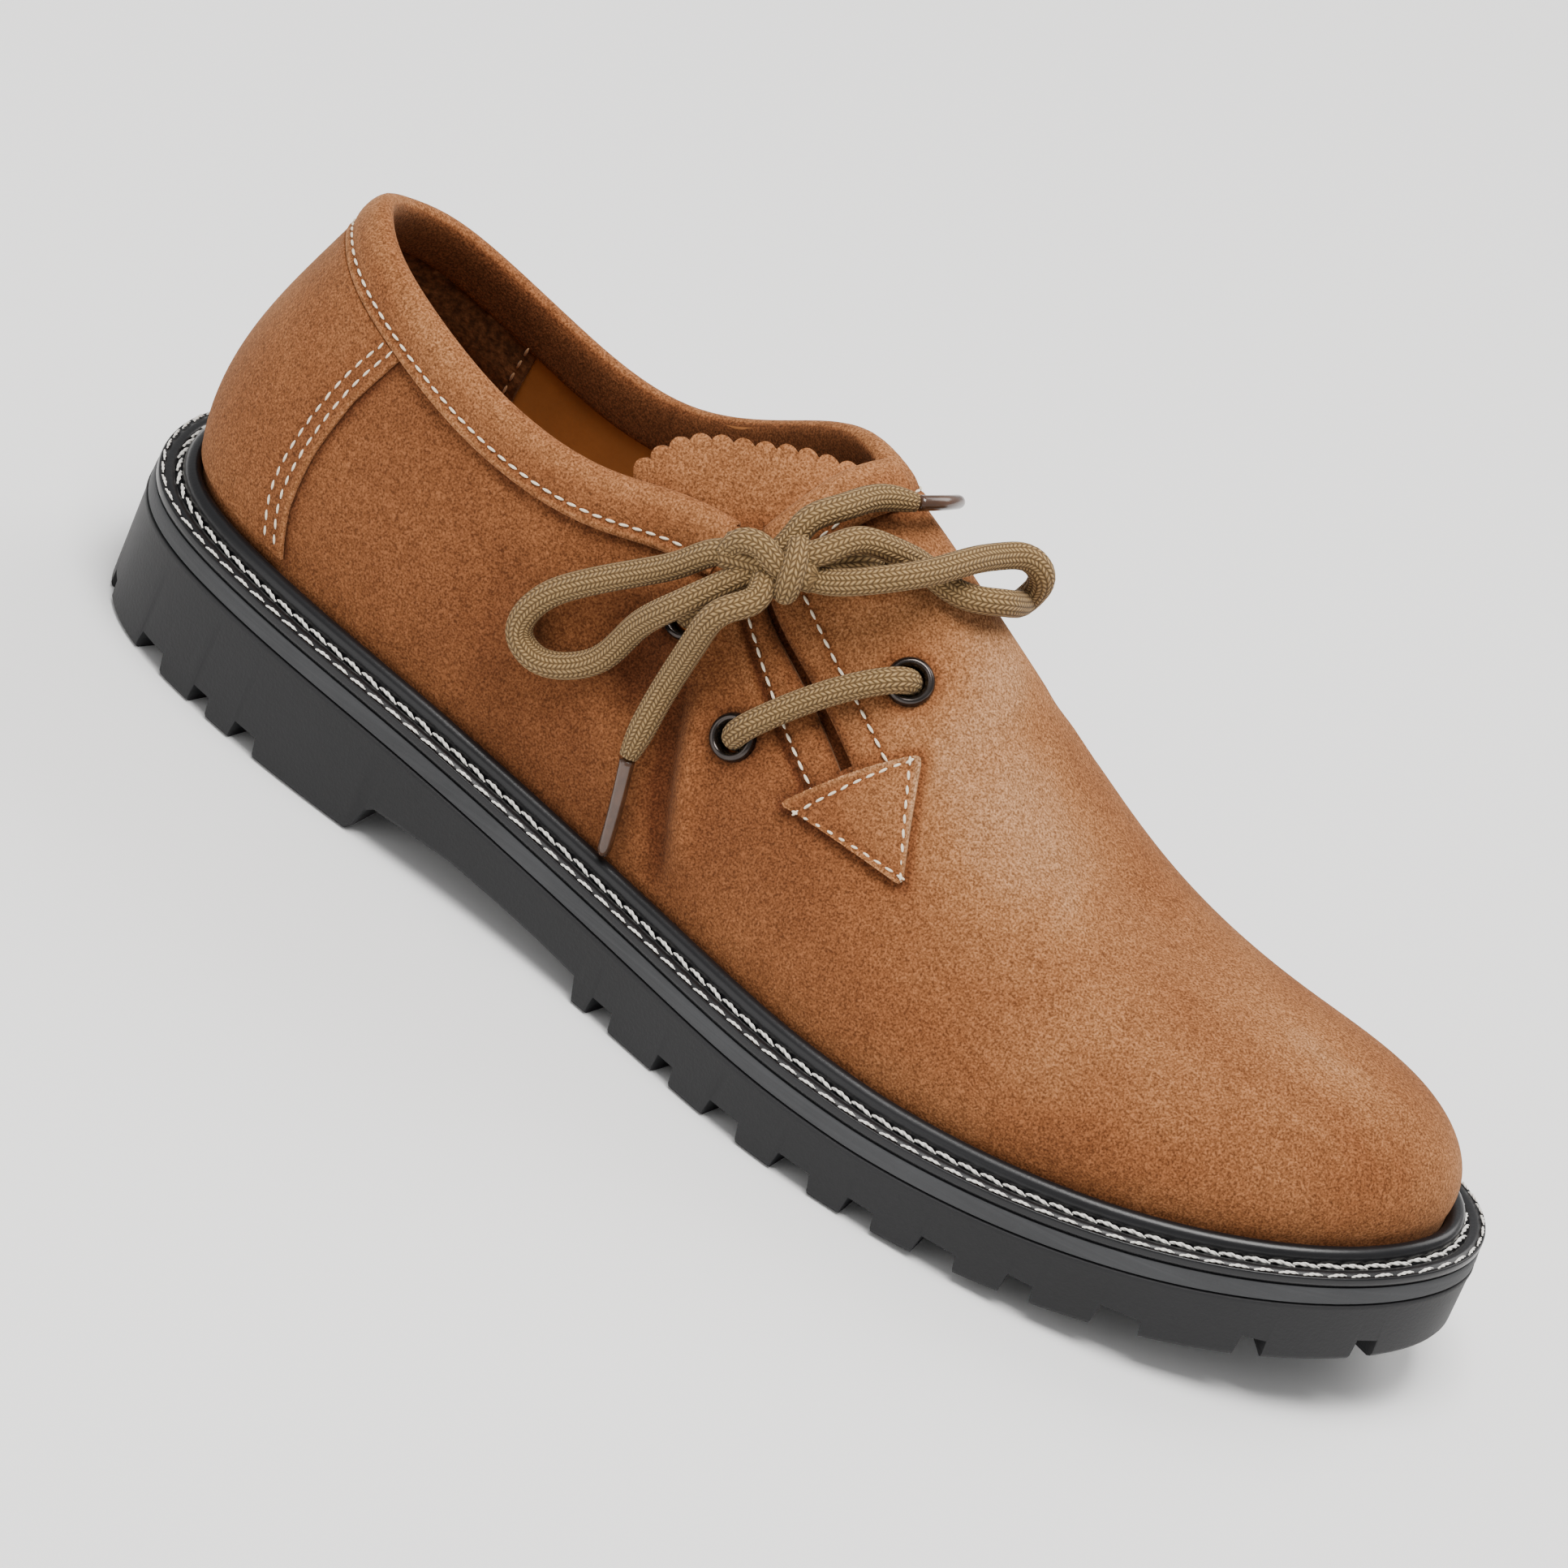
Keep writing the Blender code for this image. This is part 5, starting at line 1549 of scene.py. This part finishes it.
def makeCollar(finish, tree, stitch, thread):
    rows = []
    for d, lift in rounded(collarProfile, 1):
        outer, inner = collarOffset(d)
        a = onLast(outer[:, 0], outer[:, 1], lift)[::-1]
        b = onLast(inner[:, 0], inner[:, 1], lift)[1:]
        rows.append(np.vstack([a, b]))
    rows = np.array(rows)
    # evenly spaced stations along the band
    spine = rows[6]
    run = np.r_[0, np.cumsum(np.linalg.norm(np.diff(spine, axis=0), axis=1))]
    t = np.linspace(0, run[-1], 320)
    even = np.stack([[np.interp(t, run, row[:, k]) for k in range(3)] for row in rows]).transpose(0, 2, 1)
    m, n = even.shape[:2]
    verts = even.reshape(-1, 3)
    faces = []
    for i in range(m):
        a, b = i * n, (i + 1) % m * n
        faces += [(a + k, a + k + 1, b + k + 1, b + k) for k in range(n - 1)]
    faces.append(tuple(i * n for i in range(m)))
    faces.append(tuple(i * n + n - 1 for i in range(m))[::-1])
    obj = placed("collarSuede", outwards(meshOf("collarSuede", verts, faces)), finish)
    paint(obj, np.repeat([collarShade(d, lift) for d, lift in rounded(collarProfile, 1)], n))
    finished(obj, "cognac_suede", "collar_band")
    outer, inner = collarOffset(collarWidth - seams["collarInset"])
    first = [x[::-1] for x in rowOnLast(outer, 0.0013)]
    second = rowOnLast(inner[:-2], 0.0013)
    stitchRows("collarStitches", [(np.vstack([first[0], second[0][1:]]), np.vstack([first[1], second[1][1:]]))],
               tree, stitch, thread, 0.0027, 0.0020, 0.00056, 0.06, 0.05)
    print("collar", len(obj.data.polygons))


def counterLoops(step):
    rows = np.array(counterEdge)
    low = rows[0, 1]
    loops = []
    for k, path in enumerate(collarOffset(collarWidth + 0.0002)):
        v = path[:, 1] if k == 0 else 2 - path[:, 1]
        edgeS = np.interp(v, rows[:, 1], rows[:, 0])
        stop = int(np.argmax(path[:, 0] > edgeS))
        corner = (np.interp(v[stop], rows[:, 1], rows[:, 0]), v[stop])
        keep = rows[rows[:, 1] < corner[1] - 0.02]
        top = np.column_stack([path[:stop, 0], v[:stop]])
        loop = np.vstack([
            resample([(0.0, v[0]), (0.0, low)], step)[:-1],
            resample([(0.0, low), tuple(rows[0])], step)[:-1],
            resample(np.vstack([keep, [corner]]), step)[:-1],
            resample(np.vstack([[corner], top[::-1]]), step)[:-1],
        ])
        loops.append(loop if k == 0 else innerSide(loop)[::-1])
    return loops


def makeCounter(finish, tree, stitch, thread):
    first = curveThrough(seams["counterFront"])
    second = first - (seams["counterPitch"], 0)
    sides = [belowCollar(first, False), belowCollar(second, False),
             belowCollar(innerSide(first), True), belowCollar(innerSide(second), True)]
    lines = [onSurface(p) for p in sides]

    border = [onSurface(curveThrough(counterEdge)), onSurface(innerSide(curveThrough(counterEdge)))]
    shades = {}

    def face(s, v, p):
        lift = np.full(len(s), 0.0012)
        shade = napToneAndPaintedLight(s, v)
        # Painted shade in the stitch dents; the counter's cut edge is lighter
        for line in lines:
            d = nearest(p, line)
            lift -= seams["dentDepth"] * np.exp(-(d / 0.0009) ** 2)
            shade -= 0.12 * np.exp(-(d / 0.0008) ** 2)
        for line in border:
            shade += 0.20 * np.exp(-(nearest(p, line) / 0.0007) ** 2)
        shades["counter"] = shade
        return lift

    obj = skin("counterSuede", counterLoops(0.0013), [], 0.0014, 0.00012, face, (finish,))
    paint(obj, shades["counter"])
    softEdges(obj, 0.0004)
    finished(obj, "cognac_suede", "counter")
    stitchRows("counterStitches", [rowOnLast(p, 0.0009) for p in sides], tree, stitch, thread,
               0.0030, 0.0021, 0.00055, 0.10, 0.06)


def makePatch(finish, tree, stitch, thread):
    corners = [patch[k] for k in (0, 1, 2, 0)]
    # the corners are cut round
    path = np.vstack([rounded(np.vstack([resample(corners[k:k + 2], 0.004)[:-1] for k in range(3)]), 2)])
    path = np.vstack([path, path[:1]])
    loop = resample(path, 0.0010)[:-1]
    inside3 = [seams["patch"][k] for k in (0, 1, 2, 0)]
    stitchPath = [resample(inside3[k:k + 2], 0.0008) for k in range(3)]
    lines = [onSurface(p) for p in stitchPath]

    border = onSurface(path)
    shades = {}

    def face(s, v, p):
        lift = np.full(len(s), 0.0016)
        shade = napToneAndPaintedLight(s, v)
        # Painted shade in the stitch dents; the patch's cut edge is lighter
        for line in lines:
            d = nearest(p, line)
            lift -= 1.5 * seams["dentDepth"] * np.exp(-(d / 0.0010) ** 2)
            shade -= 0.14 * np.exp(-(d / 0.0008) ** 2)
        edgeNear = np.exp(-(nearest(p, border) / 0.0009) ** 2)
        # the free edge is puckered between the stitches
        lift += edgeNear * (0.0003 + 0.0003 * np.sin(p @ (2100.0, 900.0, 1500.0)))
        shade += 0.30 * edgeNear
        shades["patch"] = shade
        return lift

    obj = skin("patchSuede", [loop], [], 0.0010, 0.00012, face, (finish,))
    paint(obj, shades["patch"])
    softEdges(obj, 0.0004)
    finished(obj, "cognac_suede", "slit_patch")
    stitchRows("patchStitches", [rowOnLast(p, 0.0011) for p in stitchPath], tree, stitch, thread,
               0.0025, 0.0018, 0.00060, 0.08, 0.08)


def makeTongue(finish):
    top = curveThrough(tongueTop, 80)
    fine = resample(top, 0.0006)
    run = np.arange(len(fine)) * 0.0006
    scallop = pinkDepth * np.abs(np.sin(math.pi * run / pinkPitch)) ** 0.7
    teeth = sideways(fine, scallop)
    sides = resample([tongueTop[-1]] + list(tongueSides) + [tongueTop[0]], 0.003)
    loop = np.vstack([teeth, sides[1:-1]])
    high = -(wall + 0.0003)

    def face(s, v, p):
        # slack waves of a free edge, and painted shade: darker away from the pinked top, with a painted shadow strip
        # under the slit
        near = np.clip(1 - nearest(p, lineTop) / 0.030, 0, 1)
        under = np.minimum(nearest(p, lineRear), nearest(p, lineFront))
        shades["tongue"] = 0.44 + 0.16 * near - 0.42 * np.exp(-(under / 0.0030) ** 2) * (1 - near)
        return high + 0.0004 * np.sin(s * 95.0) * np.clip(1 - nearest(p, lineTop) / 0.02, 0, 1)

    lineTop = onSurface(top)
    lineRear, lineFront = (onSurface(p) for p in slitEdges())
    shades = {}
    obj = skin("tongueSuede", [loop], [], 0.0016, high - tongueThick, face, (finish,))
    paint(obj, shades["tongue"])
    softEdges(obj, 0.0003, 2)
    return finished(obj, "cognac_suede", "tongue")


liningLook = {
    "reach": 0.205,           # share of s that the rough heel lining covers
    "low": 0.10,
    "under": 0.0065,          # how far below the topline it starts
}


def makeHeelLining(finish, tree, stitch, thread):
    loops = []
    seamPaths = []
    for k, path in enumerate(collarOffset(liningLook["under"])):
        v = path[:, 1] if k == 0 else 2 - path[:, 1]
        stop = int(np.argmax(path[:, 0] > liningLook["reach"]))
        top = np.column_stack([path[:stop, 0], v[:stop]])
        corner = (liningLook["reach"], v[stop])
        loop = np.vstack([
            resample([(0.0, v[0]), (0.0, liningLook["low"])], 0.002)[:-1],
            resample([(0.0, liningLook["low"]), (liningLook["reach"], liningLook["low"])], 0.002)[:-1],
            resample([(liningLook["reach"], liningLook["low"]), corner], 0.002)[:-1],
            resample(np.vstack([[corner], top[::-1]]), 0.002)[:-1],
        ])
        loops.append(loop if k == 0 else innerSide(loop)[::-1])
        seam = np.array([(liningLook["reach"] - 0.007, liningLook["low"]), (liningLook["reach"] - 0.007, v[stop] - 0.02)])
        seamPaths.append(seam if k == 0 else innerSide(seam))

    def face(s, v, p):
        # slack folds pulled along the heel
        h = np.where(v > 1, 2 - v, v)
        return -0.0032 - 0.0005 * np.sin(h * 70 + s * 22) * np.clip(s / 0.06, 0, 1)

    obj = skin("heelLining", loops, [], 0.0024, face, -0.0024, (finish,))
    # Painted shade: the rough lining is darkened all over where it lies inside the heel
    paint(obj, np.full(len(obj.data.vertices), 0.36))
    softEdges(obj, 0.0003, 2)
    finished(obj, "cognac_suede")
    rows = []
    for p in seamPaths:
        place, outward = rowOnLast(p, -0.0036)
        rows.append((place, -outward))
    stitchRows("liningStitches", rows, tree, stitch, thread, 0.0032, 0.0023, 0.0006)


# The sole


soleLook = {
    "stations": 240,
}


def soleRing(inset, height, count):
    s = np.linspace(0, 1, count + 1)
    ox, oy = edge("outer", s, inset)
    ix, iy = edge("inner", s[1:-1][::-1], inset)
    x = np.r_[ox, ix]
    y = np.r_[oy, iy]
    return np.column_stack([x, y, height(x)])


def capFaces(n, first, up):
    half = n // 2
    faces = []
    for k in range(half):
        face = [k, k + 1, (n - k - 1) % n, (n - k) % n]
        face = [i for j, i in enumerate(face) if i not in face[:j]]
        faces.append([i + first for i in (face if up else face[::-1])])
    return faces


def stacked(rings):
    n = len(rings[0])
    faces = capFaces(n, 0, False)
    for k in range(len(rings) - 1):
        a = k * n
        faces += [(a + j, a + (j + 1) % n, a + n + (j + 1) % n, a + n + j) for j in range(n)]
    return np.vstack(rings), faces + capFaces(n, (len(rings) - 1) * n, True)


def hoopOf(rings):
    n = len(rings[0])
    m = len(rings)
    faces = []
    for k in range(m):
        a, b = k * n, (k + 1) % m * n
        faces += [(a + j, a + (j + 1) % n, b + (j + 1) % n, b + j) for j in range(n)]
    return np.vstack(rings), faces


weltProfile = (
    # inset from the sole's edge, rise above the welt's underside
    (0.0003, 0.0000), (0.0002, 0.0010), (0.0003, 0.0018), (0.0006, 0.0020), (0.0010, 0.0018),
    (0.0014, 0.0020), (0.0020, 0.0024), (0.0028, 0.0024), (0.0034, 0.0022), (0.0038, 0.0017),
    (0.0043, 0.0017), (0.0046, 0.0019), (0.0048, 0.0022), (0.0047, 0.0034), (0.0050, 0.0045),
    (0.0057, 0.0052), (0.0066, 0.0055), (0.0075, 0.0052), (0.0081, 0.0045), (0.0084, 0.0035),
    (0.0084, 0.0022), (0.0100, 0.0022), (0.0118, 0.0022), (0.0118, 0.0000),
)


def makeWelt(finish, tree, twisted, thread):
    profile = rounded(weltProfile, 1)
    rings = [soleRing(inset, lambda x, r=rise: weltBase(x) + r, soleLook["stations"]) for inset, rise in profile]
    verts, faces = hoopOf(rings)
    obj = placed("stormWelt", outwards(meshOf("stormWelt", verts, faces)), finish)
    finished(obj, "black_welt", "welt")
    s = np.linspace(0, 1, 500)
    up = (0.0, 0.0, 1.0)
    for name, inset, rise, pitch, length, thick, slant in (
            ("weltStitchesOuter", 0.0010, 0.0022, 0.0046, 0.0037, 0.00060, 0.08),
            ("weltStitchesInner", 0.0042, 0.0023, 0.0046, 0.0050, 0.00082, -0.17)):
        line = soleRing(inset, lambda x, r=rise: weltBase(x) + r, 600)
        line = np.vstack([line, line[:1]])
        outward = np.tile(up, (len(line), 1))
        stitchRows(name, [(line, outward)], tree, twisted, thread, pitch, length, thick, slant, 0.05)


def makeMidsole(finish):
    base = lambda x: wallTop(x) + layerGap
    profile = ((0.0002, 0.0000), (0.0000, 0.0002), (0.0000, 0.0012), (0.0001, 0.0024), (0.0002, 0.0033), (0.0004, 0.0036))
    rings = [soleRing(inset, lambda x, r=rise: base(x) + r, soleLook["stations"]) for inset, rise in profile]
    verts, faces = stacked(rings)
    obj = placed("midsoleBand", outwards(meshOf("midsoleBand", verts, faces)), finish)
    softFlat(obj)
    return finished(obj, "grey_rubber", "midsole")


def softFlat(obj, angle=35.0):
    obj.data.set_sharp_from_angle(angle=math.radians(angle))


def boxFaces(first):
    ids = [(3, 2, 1, 0), (4, 5, 6, 7), (0, 1, 5, 4), (1, 2, 6, 5), (2, 3, 7, 6), (3, 0, 4, 7)]
    return [[i + first for i in f] for f in ids]


def grooveBlock(p, inward, width, reach, top):
    side = np.array([-inward[1], inward[0]])
    out = p - inward * grooveOverrun
    back = p + inward * reach
    verts = []
    for z, half in ((-grooveOverrun, width * grooveFlare), (top, width * (1 - grooveFlare))):
        for base, sign in ((out, 1), (out, -1), (back, -1), (back, 1)):
            q = base - side * half * sign
            verts.append((q[0], q[1], z))
    return verts


def makeOutsole(finish):
    profile = ((0.0012, tread, 0.0), (0.0004, tread, 0.0004), (0.0, tread, 0.0012),
               (0.0, wallTop, -0.0012), (-0.0002, wallTop, -0.0008), (-0.0001, wallTop, -0.0002),
               (0.0002, wallTop, 0.0))
    rings = [soleRing(inset, lambda x, f=form, r=rise: f(x) + r, soleLook["stations"]) for inset, form, rise in profile]
    verts, faces = stacked(rings)
    obj = placed("outsoleRubber", outwards(meshOf("outsoleRubber", verts, faces)), finish)
    blocks = []
    for s, width in grooves:
        for side in ("outer", "inner"):
            start = np.array(edge(side, s, 0.0))
            inward = (np.array(edge(side, s, grooveReach)) - start) / grooveReach
            blocks.append(grooveBlock(start, inward, width, grooveReach, spring(start[0]) + lugDepth))
    for low, high in middleRuns:
        for a in np.arange(low, high, middlePitch / soleLength):
            x = (a - 0.5) * soleLength
            ends = []
            for side in ("outer", "inner"):
                c = edges[side][0]
                ends.append(edge(side, np.interp(x, c[:, 0], np.linspace(0, 1, len(c))), grooveReach + channel)[1])
            blocks.append(grooveBlock(np.array([x, ends[0]]), np.array([0.0, 1.0]), middleWidth,
                                      ends[1] - ends[0], spring(x) + lugDepth - middleRise))
    verts = np.vstack(blocks)
    faces = sum((boxFaces(8 * k) for k in range(len(blocks))), [])
    cutter = placed("grooveCutter", outwards(meshOf("grooveCutter", verts, faces)))
    cut = obj.modifiers.new("grooves", "BOOLEAN")
    cut.operation = "DIFFERENCE"
    cut.solver = "MANIFOLD"
    cut.object = cutter
    applied(obj)
    bpy.data.objects.remove(cutter, do_unlink=True)
    softEdges(obj, 0.0005, 2, 40.0)
    obj.data.shade_smooth()
    softFlat(obj, 40.0)
    print("outsole", len(obj.data.polygons))
    return finished(obj, "black_rubber", "outsole")


def makeInsole(finish):
    inset = featherInset + wall + stripInside + layerGap
    profile = ((inset, 0.0), (inset, insoleThick - 0.0008), (inset + 0.0005, insoleThick - 0.0002), (inset + 0.0014, insoleThick))
    rings = [soleRing(i, lambda x, r=rise: weltBase(x) + r, 140) for i, rise in profile]
    verts, faces = stacked(rings)
    obj = placed("insoleLeather", outwards(meshOf("insoleLeather", verts, faces)), finish)
    softFlat(obj, 50.0)
    return finished(obj, "tan_leather", "insole")


# Lacing


eyeletLook = {
    "seat": -0.0001,
    "segments": 48,
}


def makeEyelets(finish):
    bore = eyeletBore / 2
    barrel = eyeletBarrel / 2
    rim = eyeletOuter / 2
    seat = eyeletLook["seat"]
    low = -(wall - layerGap)
    mid = (rim + bore) / 2
    half = (rim - bore) / 2
    profile = [(bore, low), (barrel, low), (barrel, seat)]
    for k in range(13):
        a = math.pi * k / 12
        profile.append((mid + half * math.cos(a), seat + 0.0002 + 0.0017 * math.sin(a) ** 0.9))
    for name, s, v in eyelets:
        verts = []
        count = eyeletLook["segments"]
        for k in range(count):
            a = 2 * math.pi * k / count
            verts += [(r * math.cos(a), r * math.sin(a), z) for r, z in profile]
        m = len(profile)
        faces = []
        for k in range(count):
            a, b = k * m, (k + 1) % count * m
            faces += [(a + j, b + j, b + (j + 1) % m, a + (j + 1) % m) for j in range(m)]
        turn = Vector(lastNormal(np.array(s), np.array(v))).to_track_quat("Z", "Y").to_matrix().to_4x4()
        mesh = outwards(meshOf("eyeletRing_" + name, verts, faces))
        mesh.transform(Matrix.Translation(Vector(lastPoint(s, v))) @ turn)
        obj = placed("eyeletRing_" + name, mesh, finish)
        softFlat(obj, 60.0)
        finished(obj, "dark_bronze", "eyelet_" + name)


barLook = {
    # share of the way between the eyelets, lift of the lace's middle off the last
    "lower": ((0.0, -0.0030), (0.01, 0.0004), (0.07, 0.0030), (0.20, 0.0041), (0.50, 0.0046), (0.80, 0.0042),
              (0.93, 0.0030), (0.99, 0.0004), (1.0, -0.0030)),
    "upper": ((0.0, -0.0030), (0.01, 0.0004), (0.07, 0.0028), (0.20, 0.0036), (0.50, 0.0040), (0.80, 0.0036),
              (0.93, 0.0028), (0.99, 0.0004), (1.0, -0.0030)),
}


def makeBars(finish):
    places = {name: (s, v) for name, s, v in eyelets}
    for level in ("lower", "upper"):
        (s0, v0), (s1, v1) = places["rear_" + level], places["front_" + level]
        pts = [onLast(s0 + (s1 - s0) * t, v0 + (v1 - v0) * t, lift) for t, lift in barLook[level]]
        route = smoothRoute(pts, cordLook["step"])
        n = len(route)
        obj = cordMesh("laceAcross_" + level, route, evenRadii(n, laceDiameter / 2 * 0.97), finish)
        finished(obj, "olive_brown_braid", "lace_bar_" + level)


freeLook = {
    "hidden": 0.35,           # how far out of the knot's middle a hidden end starts
}


def makeFreeLace(finish, tipFinish):
    r = laceDiameter / 2

    def fromKnot(point):
        # hidden inside the knot, on the way to its middle
        return tuple(np.array(knot) + freeLook["hidden"] * (np.array(point) - np.array(knot)))

    def looped(points):
        return [fromKnot(points[0])] + list(points) + [fromKnot(points[-1])]

    routes = {
        "laceLoopRear": (looped(loopRear), "lace_loop_rear", "object", []),
        "laceLoopFront": (looped(loopFront), "lace_loop_front", "object", []),
        "laceEndRear": (looped(endRear)[:-1], "lace_end_rear", "fitting", ["agletRear"]),
        "laceEndFront": (looped(endFront)[:-1], "lace_end_front", "fitting", ["agletFront"]),
    }
    for name, route, node in (("agletRear", agletRear, "aglet_rear"), ("agletFront", agletFront, "aglet_front")):
        line = smoothRoute(route, 0.0008)
        n = len(line)
        radii = agletDiameter / 2 * (1.0 - 0.10 * np.linspace(0, 1, n))
        radii[-2:] *= (0.92, 0.70)
        obj = cordMesh(name, line, radii, tipFinish)
        finished(obj, "brown_plastic", node)
    for name, (points, node, end, pieces) in routes.items():
        route = smoothRoute(points, cordLook["step"])
        n = len(route)
        radii = evenRadii(n, r)
        if end == "fitting":
            radii *= 1 - 0.42 * np.clip((np.arange(n) - (n - 8)) / 8, 0, 1) ** 2
        obj = cordMesh(name, route, radii, finish)
        finished(obj, "olive_brown_braid", node)


knotLook = {
    "ring": 0.0043,           # middle radius of the wrap
    "squash": 0.80,
    "wrapAt": 0.0042,         # from the knot's middle towards the front loop
    "lobes": (
        # offset along the bow, across it and off the shoe, in metres
        ((-0.0078, -0.0004, 0.0004), (-0.0056, 0.0024, 0.0030), (-0.0022, 0.0026, 0.0036), (0.0010, 0.0006, 0.0028),
         (0.0034, -0.0010, 0.0008)),
    ),
}


def makeKnot(finish):
    centre = np.array(knot)
    along = np.array(loopFront[0]) - np.array(loopRear[0])
    along /= np.linalg.norm(along)
    away = lastNormal(np.array(knotOver[0]), np.array(knotOver[1]))
    across = np.cross(away, along)
    across /= np.linalg.norm(across)
    away = np.cross(along, across)
    parts = []
    turn = np.linspace(0, 2 * math.pi, 26, endpoint=False)
    ring = knotLook["ring"]
    wrap = np.array([centre + along * (knotLook["wrapAt"] + 0.0010 * math.sin(a)) + across * ring * math.cos(a)
                     + away * ring * knotLook["squash"] * math.sin(a) for a in turn])
    parts.append(cordMesh("knotWrap", wrap, np.full(len(wrap), laceDiameter / 2 * 0.94), finish, closed=True))
    for k, lobe in enumerate(knotLook["lobes"]):
        pts = [centre + along * a + across * b + away * c for a, b, c in lobe]
        route = smoothRoute(pts, cordLook["step"])
        parts.append(cordMesh("knotLobe%d" % k, route, np.full(len(route), laceDiameter / 2 * 0.95), finish))
    core = [centre + along * a for a in (-0.0090, -0.0040, 0.0, 0.0040, 0.0085)]
    route = smoothRoute(core, cordLook["step"])
    parts.append(cordMesh("knotCore", route, np.full(len(route), laceDiameter / 2 * 1.32), finish))
    bm = bmesh.new()
    for part in parts:
        bm.from_mesh(part.data)
        bpy.data.objects.remove(part, do_unlink=True)
    mesh = bpy.data.meshes.new("laceKnot")
    bm.to_mesh(mesh)
    bm.free()
    obj = placed("laceKnot", mesh, finish)
    return finished(obj, "olive_brown_braid", "lace_knot")


# Everything in order


def main():
    back, across, above = makeCamera()
    makeStudio(back, across, above)
    print("camera and studio done")
    braid = braidFinish("oliveBraid")
    tip = plainFinish("agletPlastic", (0.062, 0.026, 0.012), 0.25, coat=0.4)
    makeFreeLace(braid, tip)
    makeBars(braid)
    makeKnot(braid)
    print("lace done")
    camel = suede("camelSuede")
    counterSuede = suede("counterSuede", 1.03, 3.1)
    bandSuede = suede("bandSuede", 1.06, 7.3)
    tongueFinish = suede("tongueSuede", 1.12, 11.0)
    roughLining = suede("roughLining", 0.55, 5.0, 0.35)
    lining = leather("tanLining", (0.33, 0.125, 0.035), 0.5)
    cream = threadFinish("creamThread", (0.86, 0.74, 0.56))
    tanThread = threadFinish("tanThread", (0.34, 0.17, 0.07))
    offWhite = threadFinish("offWhiteThread", (0.80, 0.78, 0.73))
    tree = stitchTree()
    plain = capsuleStitch()
    twisted = twistedStitch()
    makeUpper(camel, lining)
    makeCounter(counterSuede, tree, plain, cream)
    makeCollar(bandSuede, tree, plain, cream)
    makePatch(camel, tree, plain, cream)
    makeTongue(tongueFinish)
    makeHeelLining(roughLining, tree, plain, tanThread)
    paths = rowPaths()
    stitchRows("facingStitches", [rowOnLast(p, 0.00005) for p in paths.values()], tree, plain, cream,
               0.0028, 0.0021, 0.00058, 0.06, 0.05)
    print("upper done")
    makeEyelets(plainFinish("darkBronze", (0.055, 0.046, 0.042), 0.22, 0.9))
    makeWelt(rubber("blackWelt", (0.006, 0.006, 0.007), 0.32, grain=0.12, coat=0.15), tree, twisted, offWhite)
    makeMidsole(rubber("buffedBand", (0.034, 0.035, 0.037), 0.60, scratches=0.22))
    makeOutsole(rubber("blackRubber", (0.011, 0.011, 0.012), 0.60, scratches=0.05))
    makeInsole(leather("insoleLeather", (0.36, 0.15, 0.05), 0.55))
    for spare in (plain, twisted):
        bpy.data.objects.remove(spare, do_unlink=True)
    print("sole done")


main()
